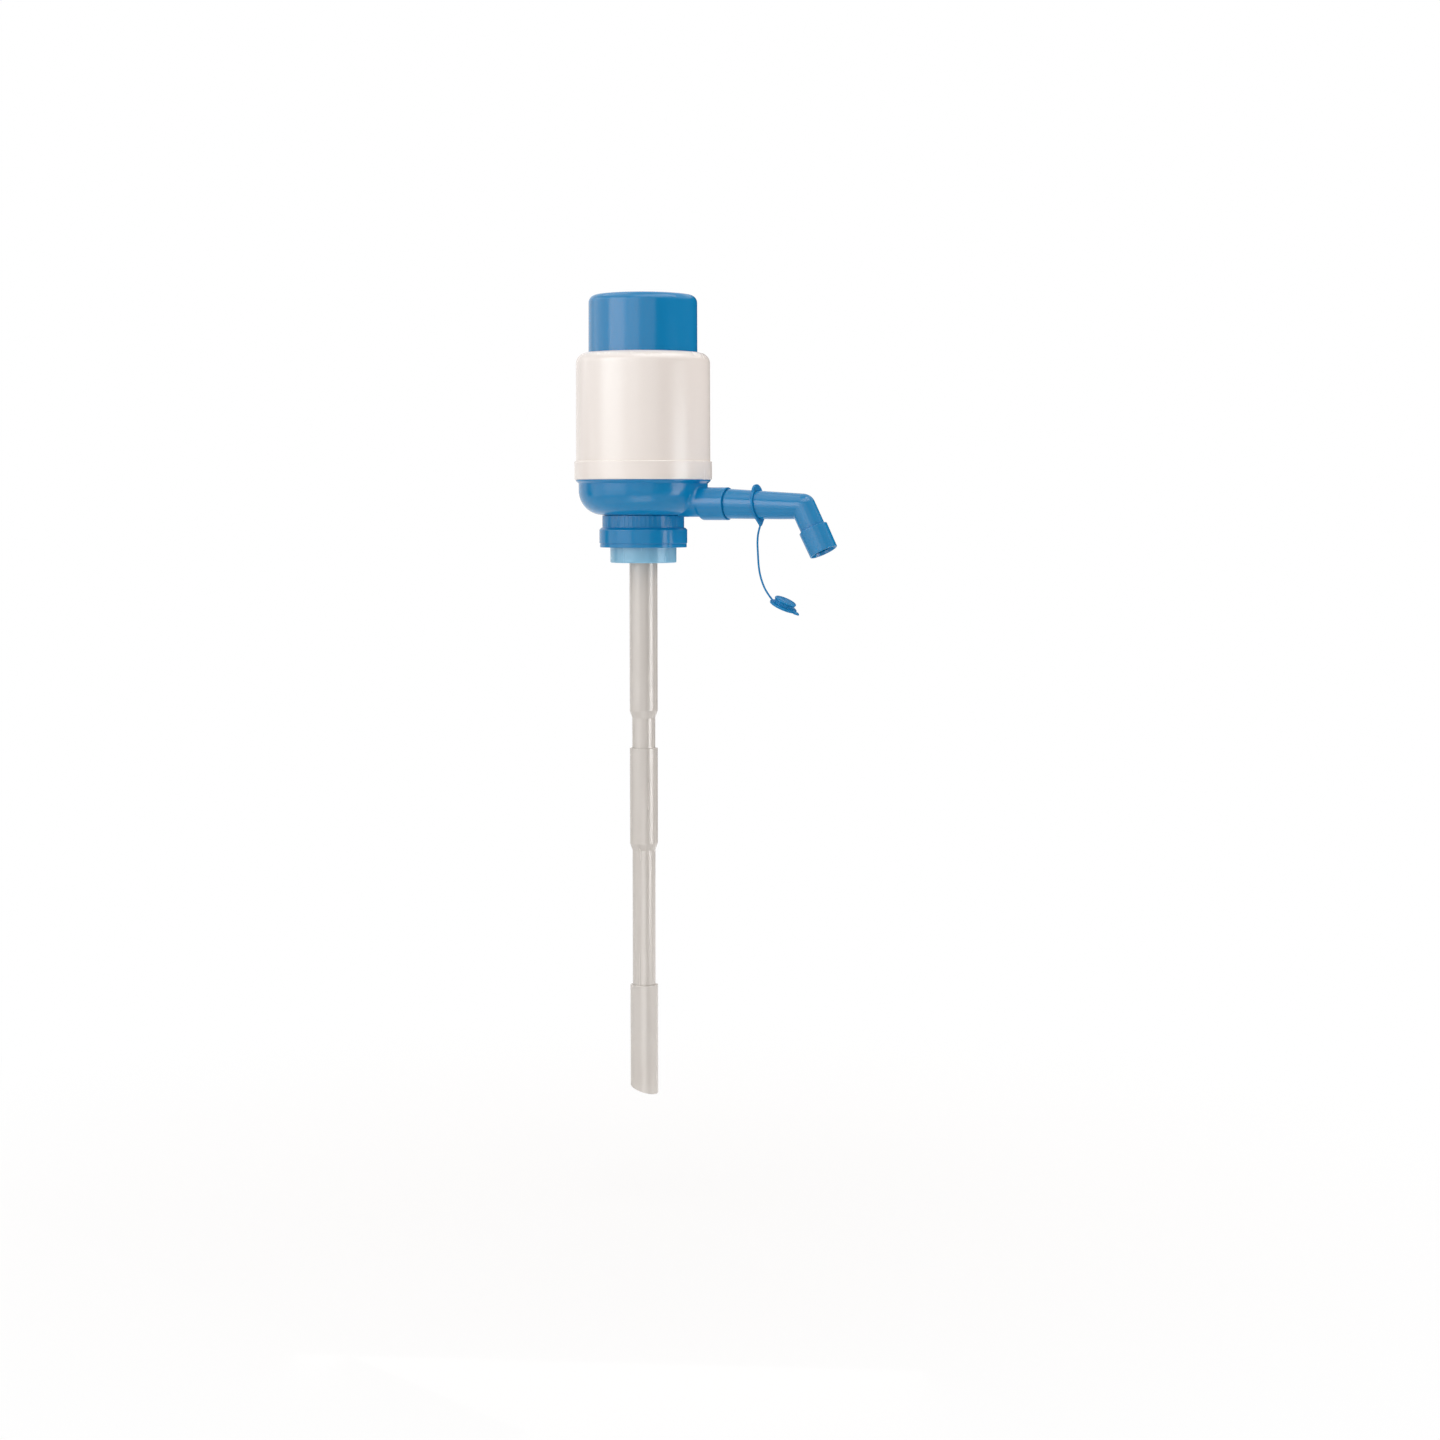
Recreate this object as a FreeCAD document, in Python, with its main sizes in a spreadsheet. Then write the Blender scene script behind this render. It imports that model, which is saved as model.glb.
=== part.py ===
import FreeCAD, Part

import math
import os
import re

import Sketcher

# Hand pump for large water bottles.
#
# The pump screws onto a bottle's neck.  Pressing the plunger squeezes a bellows, which blows air
# through a valve plate into the bottle, and the air drives water up the dip tube, round the
# elbow and out of the spout.
#
# Frame: millimetres, +Z up, +X along the spout.  The origin lies on the pump's axis in the plane
# where the rim of the bottle's neck seats.

V = FreeCAD.Vector

# ---------------------------------------------------------------------------------------------
# Driving sizes
# ---------------------------------------------------------------------------------------------

SIZES = {
    # Gaps between pieces
    "press_gap": 0.05,            # between pieces that are pushed together and stay
    "running_gap": 0.08,          # round the spout, which turns in its socket
    "moving_gap": 0.3,            # between faces that pass each other freely
    "guide_gap": 0.4,             # round the plunger, where it slides in the shell

    # Neck of the bottle that the pump fits
    "bottle_thread_radius": 23.95,
    "bottle_thread_depth": 1.2,
    "bottle_neck_wall": 2.25,     # under the thread

    # Plug that enters the neck
    "plug_gap": 1.5,              # inside the neck
    "plug_length": 18.8,
    "plug_wall": 1.8,
    "plug_neck_inset": 0.4,
    "plug_relief": 0.2,           # waist where the gasket sits
    "plug_flange_inset": 0.45,    # inside the root of the bottle's thread
    "plug_flange_thickness": 1.8,
    "plug_lip_height": 2.2,       # snap lip above the bowl's floor
    "plug_lip_overhang": 0.5,
    "hub_length": 4.0,            # hub that carries the water elbow
    "hub_wall": 2.0,
    "spoke_width": 1.8,
    "spoke_count": 3,
    "gasket_thickness": 1.8,

    # Nut that clamps the pump to the bottle
    "nut_roof_thickness": 1.6,
    "nut_sleeve_wall": 0.8,
    "nut_rib_height": 0.4,
    "nut_rib_width": 1.3,
    "nut_rib_crest_width": 0.32,
    "nut_rib_count": 60,
    "nut_top_gap": 0.5,           # below the bowl
    "nut_ring_wall": 1.0,         # outside the thread's bore
    "nut_ring_rise": 1.3,         # above the bottle's rim
    "nut_ring_chamfer": 1.2,
    "nut_ring_length": 8.9,
    "nut_groove_width": 0.6,
    "nut_groove_depth": 0.5,
    "nut_lip_inset": 0.35,
    "nut_lip_length": 1.8,
    "nut_lip_chamfer": 0.35,
    "nut_step_depth": 1.2,        # plain bore above the thread
    "nut_thread_pitch": 4.0,
    "nut_thread_rise": 5.0,
    "nut_thread_root_width": 2.0,
    "nut_thread_crest_width": 0.8,

    # Bowl, with the stub and socket for the spout
    "bowl_floor_rise": 3.0,       # above the nut's roof
    "bowl_depth": 27.7,
    "bowl_inset": 1.3,            # inside the shell's outside
    "bowl_floor_margin": 0.2,     # flat floor outside the nut's bore
    "bowl_corner_land": 0.3,      # straight wall left above the corner
    "bowl_wall": 1.6,
    "bowl_hole_gap": 0.1,         # round the plug's neck
    "stop_flange_overhang": 1.6,
    "stop_flange_thickness": 1.2,
    "stop_flange_round": 0.4,
    "snap_bead_width": 1.6,
    "snap_bead_drop": 2.8,        # below the bowl's rim
    "spout_axis_rise": 6.4,       # above the underside of the bowl's floor
    "stub_nut_gap": 0.7,          # between the stub and the nut's ribs
    "stub_wall": 2.5,
    "flare_gap": 0.1,             # between the bowl's wall and the flare
    "flare_length": 2.5,
    "socket_wall": 1.4,
    "socket_length": 14.9,
    "socket_depth": 12.5,

    # Shell
    "shell_radius": 38.3,
    "shell_height": 72.2,
    "shell_lap": 7.6,             # below the bowl's rim
    "shell_draft": 0.15,
    "shell_wall": 1.8,
    "shell_shoulder_radius": 6.1,
    "shell_shoulder_land": 0.2,   # flat between the shoulder and the opening's rounding
    "shell_roof_thickness": 2.0,
    "shell_opening_round": 0.4,
    "shell_inner_round": 2.4,
    "skirt_height": 10.5,
    "skirt_overhang": 0.95,
    "skirt_gap": 0.4,             # between the bowl's wall and the skirt
    "skirt_edge_round": 0.6,
    "guide_wall": 1.6,

    # Valve plate
    "plate_seal_thickness": 0.8,
    "plate_thickness": 2.4,
    "plate_edge_gap": 0.2,
    "collar_height": 4.0,
    "collar_wall": 1.3,
    "spring_boss_gap": 0.5,       # inside the spring
    "spring_boss_wall": 0.9,
    "spring_boss_height": 2.0,

    # Plunger
    "stroke": 28.0,
    "bottoming_gap": 2.0,         # between the pressed plunger and the valve plate
    "top_stop_gap": 0.2,
    "plunger_grip": 6.2,          # what still stands above the shell when it is pressed
    "plunger_draft": 0.2,
    "plunger_crown": 1.9,         # rise of the domed top
    "plunger_edge_round": 4.5,
    "plunger_wall": 1.8,
    "plunger_roof_thickness": 3.6,
    "plunger_inner_round": 2.2,
    "plunger_flange_gap": 1.2,    # inside the shell
    "plunger_flange_thickness": 2.4,

    # Seat under the plunger's roof, which holds the bellows' top
    "seat_rim_height": 5.0,
    "seat_rim_gap": 0.7,          # inside the rounding under the plunger's roof
    "seat_rim_wall": 1.6,
    "seat_thickness": 2.2,
    "seat_notch_width": 8.0,
    "seat_notch_height": 2.5,
    "seat_notch_count": 4,

    # Bellows
    "bellows_gap": 1.7,           # to the plunger's wall
    "bellows_fold_depth": 4.6,
    "bellows_fold_count": 10,
    "bellows_fold_round": 0.9,
    "bellows_wall": 1.3,
    "cuff_wall": 1.4,
    "cuff_height": 5.0,
    "hoop_wall": 1.5,
    "hoop_gap": 0.1,              # between the hoop and the web at the cuff's end
    "collar_gap": 0.6,            # between the collars and the plunger's wall

    # Return spring
    "spring_wire_radius": 0.7,
    "spring_turns": 11,

    # Umbrella valves
    "valve_edge_thickness": 0.5,
    "valve_drop": 1.4,
    "valve_overlap": 1.3,         # outside the ports
    "valve_room": 0.5,            # inside the spring's boss
    "valve_stem_radius": 1.5,
    "valve_bulb_overhang": 0.8,
    "valve_bulb_height": 1.8,
    "port_radius": 1.5,
    "port_gap": 1.4,              # outside the valve's bulb
    "port_count": 6,

    # Water elbow
    "stem_wall": 1.4,
    "stem_depth": 28.0,           # below the bottle's rim
    "stem_collar_overhang": 1.6,
    "stem_collar_height": 1.6,
    "elbow_roof": 1.4,
    "elbow_roof_round": 2.0,
    "branch_bore_radius": 3.0,
    "branch_wall": 1.7,
    "branch_end_gap": 0.5,
    "o_ring_radius": 0.7,         # of the elbow seal's section
    "o_ring_room": 0.1,
    "elbow_seal_inset": 6.0,      # behind the socket's floor

    # Spout
    "spout_root_radius": 7.82,
    "spout_shoulder_gap": 0.8,    # between the socket's mouth and the leg
    "spout_shoulder_height": 0.58,
    "spout_leg_length": 46.6,
    "spout_leg_slope": 2.0,       # degrees below the horizontal
    "spout_leg_draft": 1.25,
    "spout_bend": 63.2,           # degrees below the horizontal
    "spout_wall": 1.5,
    "spout_fall_length": 13.6,    # sloping leg as far as the sleeve
    "spout_fall_draft": 0.05,
    "spout_bead_height": 0.3,
    "spout_bead_width": 1.0,
    "spout_end_gap": 0.3,
    "spout_seal_inset": 6.5,      # inside the socket's mouth
    "spout_seal_radius": 0.5,
    "spigot_inset": 1.15,
    "spigot_wall": 1.05,
    "spigot_end_gap": 0.5,        # between the spigot and the outlet's bore
    "sleeve_length": 14.8,
    "sleeve_wall": 1.65,          # round the outlet
    "sleeve_draft": 0.2,
    "outlet_relief": 0.5,
    "outlet_depth": 6.0,
    "sleeve_edge_round": 0.4,

    # Tether ring
    "ring_reach": 18.9,           # from the socket's mouth
    "ring_lean": 7.0,             # degrees that its top leans towards the pump
    "ring_gap": 0.55,             # round the spout
    "ring_thickness": 1.4,
    "ring_width": 0.8,
    "ring_ear_radius": 6.5,
    "ring_ear_rise": 2.4,
    "ring_tip_radius": 1.1,
    "ring_tip_drop": 2.7,

    # Tether strand and dust cap
    "strand_radius": 0.55,
    "cap_place": 88.7,
    "cap_height": -43.1,
    "cap_tilt": 25.5,
    "cap_flange_inset": 0.1,      # inside the sleeve's outside
    "cap_flange_thickness": 1.3,
    "cap_crown": 0.9,
    "cap_boss_gap": 0.1,
    "cap_boss_height": 3.5,
    "cap_boss_wall": 1.4,
    "cap_boss_recess": 2.8,
    "cap_boss_round": 0.9,
    "cap_edge_round": 0.4,
    "cap_tab_length": 2.8,
    "cap_tab_width": 5.0,
    "cap_tab_round": 1.6,
    "cap_tab_thickness": 1.0,

    # Dip tube, in three sections that push into each other
    "tube_bore": 6.7,
    "tube_wide_wall": 1.35,
    "tube_narrow_wall": 1.25,
    "tube_spigot": 22.0,
    "tube_taper_length": 4.0,
    "upper_wide_length": 100.0,
    "upper_narrow_length": 17.4,
    "middle_wide_length": 55.4,
    "middle_narrow_length": 78.5,
    "foot_length": 63.9,
    "foot_cut_angle": 18.0,
}

# Sizes that follow from the driving ones
DERIVED = {
    # Neck fitting, counted up from the bottle's rim and out from its bore
    "bottle_root_radius": "bottle_thread_radius - bottle_thread_depth",
    "plug_radius": "bottle_root_radius - bottle_neck_wall - plug_gap",
    "plug_bore": "plug_radius - plug_wall",
    "plug_neck_radius": "plug_radius - plug_neck_inset",
    "plug_flange_radius": "bottle_root_radius - plug_flange_inset",
    "plug_flange_top": "gasket_thickness + plug_flange_thickness",
    "gasket_bore": "plug_radius + press_gap",
    "hub_bore": "stem_radius + press_gap",
    "hub_radius": "hub_bore + hub_wall",
    "nut_roof_bottom": "plug_flange_top + moving_gap",
    "nut_roof_top": "nut_roof_bottom + nut_roof_thickness",
    "nut_top": "bowl_floor_height - nut_top_gap",
    "nut_hole_radius": "plug_neck_radius + plug_lip_overhang + moving_gap",
    "nut_plain_bore": "plug_flange_radius + moving_gap",
    "nut_sleeve_radius": "nut_plain_bore + nut_sleeve_wall",
    "nut_thread_bore": "bottle_thread_radius + moving_gap",
    "nut_crest_radius": "bottle_thread_radius - bottle_thread_depth / 2",
    "nut_ring_radius": "nut_thread_bore + nut_ring_wall",
    "nut_ring_bottom": "nut_ring_rise - nut_ring_length",
    "nut_lip_radius": "nut_ring_radius - nut_lip_inset",
    "nut_lip_top": "nut_ring_bottom - nut_groove_width",
    "nut_bottom": "nut_lip_top - nut_lip_length",

    # Bowl
    "bowl_floor_height": "nut_roof_top + bowl_floor_rise",
    "bowl_floor_top": "bowl_floor_height + bowl_wall",
    "bowl_rim_height": "bowl_floor_height + bowl_depth",
    "bowl_radius": "shell_radius - bowl_inset",
    "bowl_bore": "bowl_radius - bowl_wall",
    "bowl_hole_radius": "plug_neck_radius + bowl_hole_gap",
    "bowl_floor_radius": "nut_plain_bore + bowl_floor_margin",
    "bowl_corner_room": "stop_flange_bottom - bowl_floor_height - bowl_corner_land",
    "bowl_corner_radius": "min(bowl_radius - bowl_floor_radius; bowl_corner_room)",
    "stop_flange_radius": "bowl_radius + stop_flange_overhang",
    "stop_flange_bottom": "shell_bottom - stop_flange_thickness",
    "snap_bead_level": "bowl_rim_height - snap_bead_drop",
    "snap_bead_radius": "bowl_radius + skirt_gap - press_gap",

    # Stub and socket, counted out from the bowl's wall
    "spout_axis_height": "bowl_floor_height + spout_axis_rise",
    "stub_start": "nut_sleeve_radius + nut_rib_height + stub_nut_gap",
    "stub_bore_radius": "branch_radius + moving_gap",
    "stub_radius": "stub_bore_radius + stub_wall",
    "flare_start": "bowl_radius + flare_gap",
    "flare_end": "flare_start + flare_length",
    "socket_mouth": "flare_end + socket_length",
    "socket_floor": "socket_mouth - socket_depth",
    "socket_bore_radius": "spout_root_radius + running_gap",
    "socket_radius": "socket_bore_radius + socket_wall",

    # Shell
    "shell_bottom": "bowl_rim_height - shell_lap",
    "shell_top": "shell_bottom + shell_height",
    "shell_bore": "shell_radius - shell_wall",
    "skirt_top": "shell_bottom + skirt_height",
    "skirt_bore": "bowl_radius + skirt_gap",
    "skirt_radius": "shell_radius + shell_draft + skirt_overhang",
    "opening_edge": "shell_radius - shell_shoulder_radius - shell_shoulder_land",
    "opening_radius": "opening_edge - shell_opening_round",
    "guide_radius": "opening_radius + guide_wall",
    "shell_inner_rounding": "min(shell_inner_round; shell_bore - guide_radius - press_gap)",

    # Valve plate
    "plate_bottom": "bowl_rim_height + plate_seal_thickness",
    "plate_top": "plate_bottom + plate_thickness",
    "plate_radius": "skirt_bore - plate_edge_gap",

    # Plunger, counted up from the valve plate and in from the shell
    "plunger_radius": "opening_radius - guide_gap",
    "plunger_bottom": "plate_top + bottoming_gap + stroke",
    "plunger_flange_top": "plunger_bottom + plunger_flange_thickness",
    "guide_end": "plunger_flange_top + top_stop_gap",
    "plunger_top": "shell_top + stroke + plunger_grip",
    "plunger_top_radius": "plunger_radius - plunger_draft",
    "plunger_flange_radius": "shell_bore - plunger_flange_gap",
    "plunger_bore": "plunger_top_radius - plunger_wall",
    "plunger_ceiling": "plunger_top - plunger_roof_thickness",

    # Bellows and what holds it
    "collar_radius": "plunger_bore - collar_gap",
    "collar_bore": "collar_radius - collar_wall",
    "cuff_radius": "collar_bore - press_gap",
    "cuff_bore": "cuff_radius - cuff_wall",
    "lower_hoop_radius": "cuff_bore - press_gap",
    "upper_hoop_radius": "cuff_bore - moving_gap",
    "hoop_height": "cuff_height - cuff_wall - hoop_gap",
    "seat_collar_bore": "cuff_radius + moving_gap",
    "seat_rim_radius": "plunger_bore - plunger_inner_round - seat_rim_gap",
    "seat_top": "plunger_ceiling - seat_rim_height",
    "seat_bottom": "seat_top - seat_thickness",
    "bellows_height": "seat_bottom - plate_top",
    "bellows_pitch": "(bellows_height - 2 * cuff_height) / bellows_fold_count",
    "bellows_radius": "plunger_bore - bellows_gap",
    "bellows_valley": "bellows_radius - bellows_fold_depth",

    # Valves and the spring round them
    "valve_bulb_radius": "valve_stem_radius + valve_bulb_overhang",
    "port_ring_radius": "valve_bulb_radius + port_gap + port_radius",
    "valve_radius": "port_ring_radius + port_radius + valve_overlap",
    "spring_boss_bore": "valve_radius + valve_room",
    "spring_boss_radius": "spring_boss_bore + spring_boss_wall",
    "spring_radius": "spring_boss_radius + spring_boss_gap + spring_wire_radius",

    # Water elbow
    "stem_radius": "tube_narrow_radius - press_gap",
    "stem_bore_radius": "stem_radius - stem_wall",
    "stem_bottom": "-stem_depth",
    "branch_radius": "branch_bore_radius + branch_wall",
    "branch_end": "socket_floor - branch_end_gap",
    "elbow_top": "spout_axis_height + branch_radius + elbow_roof",
    "elbow_seal_place": "socket_floor - elbow_seal_inset",
    "elbow_seal_circle": "stub_bore_radius - o_ring_radius",
    "elbow_groove_radius": "elbow_seal_circle - o_ring_radius",
    "elbow_groove_width": "2 * (o_ring_radius + o_ring_room)",

    # Spout
    "spout_start": "socket_floor + spout_end_gap",
    "spout_root_length": "socket_mouth - spout_start",
    "spout_leg_radius": "spout_root_radius + spout_shoulder_height",
    "spout_corner": "socket_mouth + spout_leg_length * cos(spout_leg_slope)",
    "spout_corner_height": "spout_axis_height - spout_leg_length * sin(spout_leg_slope)",
    "spout_corner_radius": "spout_leg_radius - spout_leg_draft",
    "spout_neck_radius": "spout_corner_radius - spout_fall_draft",
    "spout_bead_radius": "spout_root_radius + spout_bead_height",
    "spout_seal_place": "socket_mouth - spout_seal_inset",
    "spout_seal_circle": "socket_bore_radius - press_gap - spout_seal_radius",
    "spout_groove_radius": "spout_seal_circle - spout_seal_radius",
    "spigot_radius": "spout_neck_radius - spigot_inset",
    "spigot_length": "sleeve_length - outlet_depth - spigot_end_gap",
    "spout_bore_radius": "spigot_radius - spigot_wall",
    "sleeve_bore": "spigot_radius + press_gap",
    "outlet_radius": "sleeve_bore + outlet_relief",
    "sleeve_end_radius": "outlet_radius + sleeve_wall",
    "sleeve_radius": "sleeve_end_radius + sleeve_draft",

    # Tether ring and dust cap
    "ring_place": "socket_mouth + ring_reach * cos(spout_leg_slope)",
    "ring_height": "spout_axis_height - ring_reach * sin(spout_leg_slope)",
    "spout_radius_at_ring": "spout_leg_radius - spout_leg_draft * ring_reach / spout_leg_length",
    "ring_bore": "spout_radius_at_ring + ring_gap",
    "ring_radius": "ring_bore + ring_width",
    "ring_ear_reach": "ring_radius + ring_ear_rise",
    "ring_tip_reach": "ring_radius + ring_tip_drop",
    "cap_flange_radius": "sleeve_end_radius - cap_flange_inset",
    "cap_boss_radius": "outlet_radius - cap_boss_gap",

    # Dip tube
    "tube_narrow_radius": "tube_bore - press_gap",
    "tube_narrow_bore": "tube_narrow_radius - tube_narrow_wall",
    "tube_wide_radius": "tube_bore + tube_wide_wall",
    "upper_top": "-hub_length",
    "upper_shoulder": "upper_top - upper_wide_length",
    "middle_top": "upper_shoulder - tube_taper_length - upper_narrow_length",
    "middle_shoulder": "middle_top - middle_wide_length",
    "foot_top": "middle_shoulder - tube_taper_length - middle_narrow_length",
    "foot_bottom": "foot_top - foot_length",
}

# Route of the tether's strand in the plane y = 0, as (x, z), from the ring's tip to the cap
STRAND_ROUTE = [
    (74.75, 3.1),
    (73.85, 0.5),
    (73.05, -3.0),
    (72.8, -7.6),
    (73.15, -13.0),
    (73.45, -18.7),
    (74.3, -24.5),
    (76.2, -30.3),
    (78.9, -35.2),
    (82.1, -38.9),
]
STRAND_RUN_SHARE = 0.45
STRAND_VOLUME_TOLERANCE = 0.02

# ---------------------------------------------------------------------------------------------
# Document, sheet and expressions
# ---------------------------------------------------------------------------------------------

document = FreeCAD.newDocument("WaterJugPump")
sheet = document.addObject("Spreadsheet::Sheet", "Sizes")
for row, (alias, number) in enumerate(SIZES.items(), start=1):
    sheet.set(f"A{row}", alias)
    sheet.set(f"B{row}", str(number))
    sheet.setAlias(f"B{row}", alias)
document.recompute()

pieces = {}


def bound(text):
    """Spell an expression out in the sheet's aliases, so that an object can be bound to it."""
    def spell(match):
        word = match.group(0)
        if word in DERIVED:
            return "(" + bound(DERIVED[word]) + ")"
        if word in SIZES:
            return "Sizes." + word
        return word
    return re.sub(r"[a-z_]+", spell, str(text))


def number(text):
    """Work an expression out as a plain number."""
    return float(sheet.evalExpression(bound(text)))


def bind(item, **values):
    """Bind properties of an object to expressions."""
    for name, text in values.items():
        item.setExpression(name, bound(text))


def place(item, x="0", y="0", z="0", tilt="0"):
    """Place an object, turned by a tilt in degrees about the Y axis."""
    item.Placement = FreeCAD.Placement(V(0, 0, 0), FreeCAD.Rotation(V(0, 1, 0), 1.0))
    item.setExpression("Placement.Base.x", bound(x))
    item.setExpression("Placement.Base.y", bound(y))
    item.setExpression("Placement.Base.z", bound(z))
    item.setExpression("Placement.Rotation.Angle", bound(tilt))
    return item


def keep(item, label):
    """Record an object as a finished piece of the pump."""
    item.Label = label
    pieces[label] = item
    return item


# ---------------------------------------------------------------------------------------------
# Building blocks
# ---------------------------------------------------------------------------------------------


def corner(across, up, rounding=None, bow=None):
    """One corner of an outline.

    rounding is the radius that the corner is rounded by.  bow is the radius of the arc that
    leads from this corner to the next one, bulging to the right of the way round.
    """
    return {"across": across, "up": up, "rounding": rounding, "bow": bow}


def start_body(label):
    """Start an empty body."""
    body = document.addObject("PartDesign::Body", label)
    body.Label = label
    return body


def pin_point(sketch, element, vertex, spot):
    """Hold a point of a sketch at the place that a corner names."""
    for kind, text in (("DistanceX", spot["across"]), ("DistanceY", spot["up"])):
        index = sketch.addConstraint(Sketcher.Constraint(kind, -1, 1, element, vertex, number(text)))
        sketch.setExpression(f"Constraints[{index}]", bound(text))


def round_corner(sketch, before, after, here, ways, spot):
    """Join two lines of a sketch with a tangent arc, and hold the corner they point at."""
    radius = number(spot["rounding"])
    half = ways[0].getAngle(ways[1]) / 2
    centre = here + (ways[0] + ways[1]).normalize() * (radius / math.sin(half))
    touches = [here + way * (radius / math.tan(half)) for way in ways]
    turns_left = ways[1].cross(ways[0]).z > 0
    first, last = touches if turns_left else reversed(touches)
    angles = [math.atan2(end.y - centre.y, end.x - centre.x) for end in (first, last)]
    circle = Part.Circle(centre, V(0, 0, 1), radius)
    arc = sketch.addGeometry(Part.ArcOfCircle(circle, angles[0], angles[1]), False)
    ends = (1, 2) if turns_left else (2, 1)
    sketch.addConstraint(Sketcher.Constraint("Tangent", before, 2, arc, ends[0]))
    sketch.addConstraint(Sketcher.Constraint("Tangent", arc, ends[1], after, 1))
    index = sketch.addConstraint(Sketcher.Constraint("Radius", arc, radius))
    sketch.setExpression(f"Constraints[{index}]", bound(spot["rounding"]))
    mark = sketch.addGeometry(Part.Point(here), True)
    sketch.addConstraint(Sketcher.Constraint("PointOnObject", mark, 1, before))
    sketch.addConstraint(Sketcher.Constraint("PointOnObject", mark, 1, after))
    pin_point(sketch, mark, 1, spot)


def bowed_edge(here, there, radius):
    """Arc between two points that bulges to the right of the way from one to the other."""
    chord = there - here
    inward = V(-chord.y, chord.x, 0).normalize()
    drop = math.sqrt(radius ** 2 - (chord.Length / 2) ** 2)
    centre = here + chord * 0.5 + inward * drop
    angles = [math.atan2(end.y - centre.y, end.x - centre.x) for end in (here, there)]
    return Part.ArcOfCircle(Part.Circle(centre, V(0, 0, 1), radius), angles[0], angles[1])


def draw_outline(body, role, corners):
    """Sketch a closed outline on one of a body's own planes, going anticlockwise."""
    sketch = body.newObject("Sketcher::SketchObject", "Outline")
    plane = next(item for item in body.Origin.OriginFeatures if item.Role == role)
    sketch.AttachmentSupport = [(plane, "")]
    sketch.MapMode = "FlatFace"
    spots = [V(number(spot["across"]), number(spot["up"]), 0) for spot in corners]
    count = len(corners)
    edges = []
    for index, spot in enumerate(corners):
        here, there = spots[index], spots[(index + 1) % count]
        if spot["bow"]:
            edge = bowed_edge(here, there, number(spot["bow"]))
        else:
            edge = Part.LineSegment(here, there)
        edges.append(sketch.addGeometry(edge, False))
    for index, spot in enumerate(corners):
        before, after = edges[index - 1], edges[index]
        if spot["rounding"]:
            ways = [(spots[index - 1] - spots[index]).normalize(),
                    (spots[(index + 1) % count] - spots[index]).normalize()]
            round_corner(sketch, before, after, spots[index], ways, spot)
        else:
            sketch.addConstraint(Sketcher.Constraint("Coincident", before, 2, after, 1))
            pin_point(sketch, after, 1, spot)
        if spot["bow"]:
            radius = Sketcher.Constraint("Radius", after, number(spot["bow"]))
            item = sketch.addConstraint(radius)
            sketch.setExpression(f"Constraints[{item}]", bound(spot["bow"]))
    return sketch


def spin(body, corners):
    """Add an outline, spun round the body's own Z axis, to a body."""
    sketch = draw_outline(body, "XZ_Plane", corners)
    feature = body.newObject("PartDesign::Revolution", "Spin")
    feature.Profile = sketch
    feature.ReferenceAxis = (sketch, ["V_Axis"])
    feature.Angle = 360
    return feature


def spun(label, corners):
    """Body made by spinning one outline."""
    body = start_body(label)
    spin(body, corners)
    return body


def spun_ring(label, inner, outer, bottom, top):
    """Body that is a plain ring."""
    return spun(label, [corner(inner, bottom), corner(outer, bottom),
                        corner(outer, top), corner(inner, top)])


def padded(body, corners, height):
    """Add an outline on the XY plane, raised by a height, to a body."""
    feature = body.newObject("PartDesign::Pad", "Pad")
    feature.Profile = draw_outline(body, "XY_Plane", corners)
    bind(feature, Length=height)
    return feature


def polar_copies(body, feature, copies):
    """Repeat a feature of a body round the Z axis."""
    pattern = body.newObject("PartDesign::PolarPattern", "Copies")
    pattern.Originals = [feature]
    pattern.Axis = (feature.Profile[0], ["N_Axis"])
    pattern.Angle = 360
    bind(pattern, Occurrences=copies)
    body.Tip = pattern
    return pattern


def rod(label, radius, length, x="0", z="0", tilt="0", end_radius=None):
    """Cylinder, or cone where an end radius is given, along its own tilted Z axis."""
    if end_radius is None:
        item = document.addObject("Part::Cylinder", label)
        bind(item, Radius=radius, Height=length)
    else:
        item = document.addObject("Part::Cone", label)
        bind(item, Radius1=radius, Radius2=end_radius, Height=length)
    return place(item, x=x, z=z, tilt=tilt)


def joined(label, items):
    """Union of several shapes."""
    union = document.addObject("Part::MultiFuse", label)
    union.Shapes = items
    return union


def cut(label, base, tool):
    """One shape less another."""
    remainder = document.addObject("Part::Cut", label)
    remainder.Base = base
    remainder.Tool = tool
    return remainder


def round_edge(body, radius, height, rounding):
    """Round the circular edge of a body that has the given radius and height."""
    document.recompute()
    base = body.Tip
    names = [f"Edge{index}" for index, edge in enumerate(base.Shape.Edges, start=1)
             if not edge.Degenerated and isinstance(edge.Curve, Part.Circle)
             and math.isclose(edge.Curve.Radius, number(radius), abs_tol=1e-4)
             and math.isclose(edge.Curve.Center.z, number(height), abs_tol=1e-4)]
    feature = body.newObject("PartDesign::Fillet", "Rounding")
    feature.Base = (base, names)
    bind(feature, Radius=rounding)
    return feature


# ---------------------------------------------------------------------------------------------
# Neck fitting: plug, gasket and nut
# ---------------------------------------------------------------------------------------------


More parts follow.
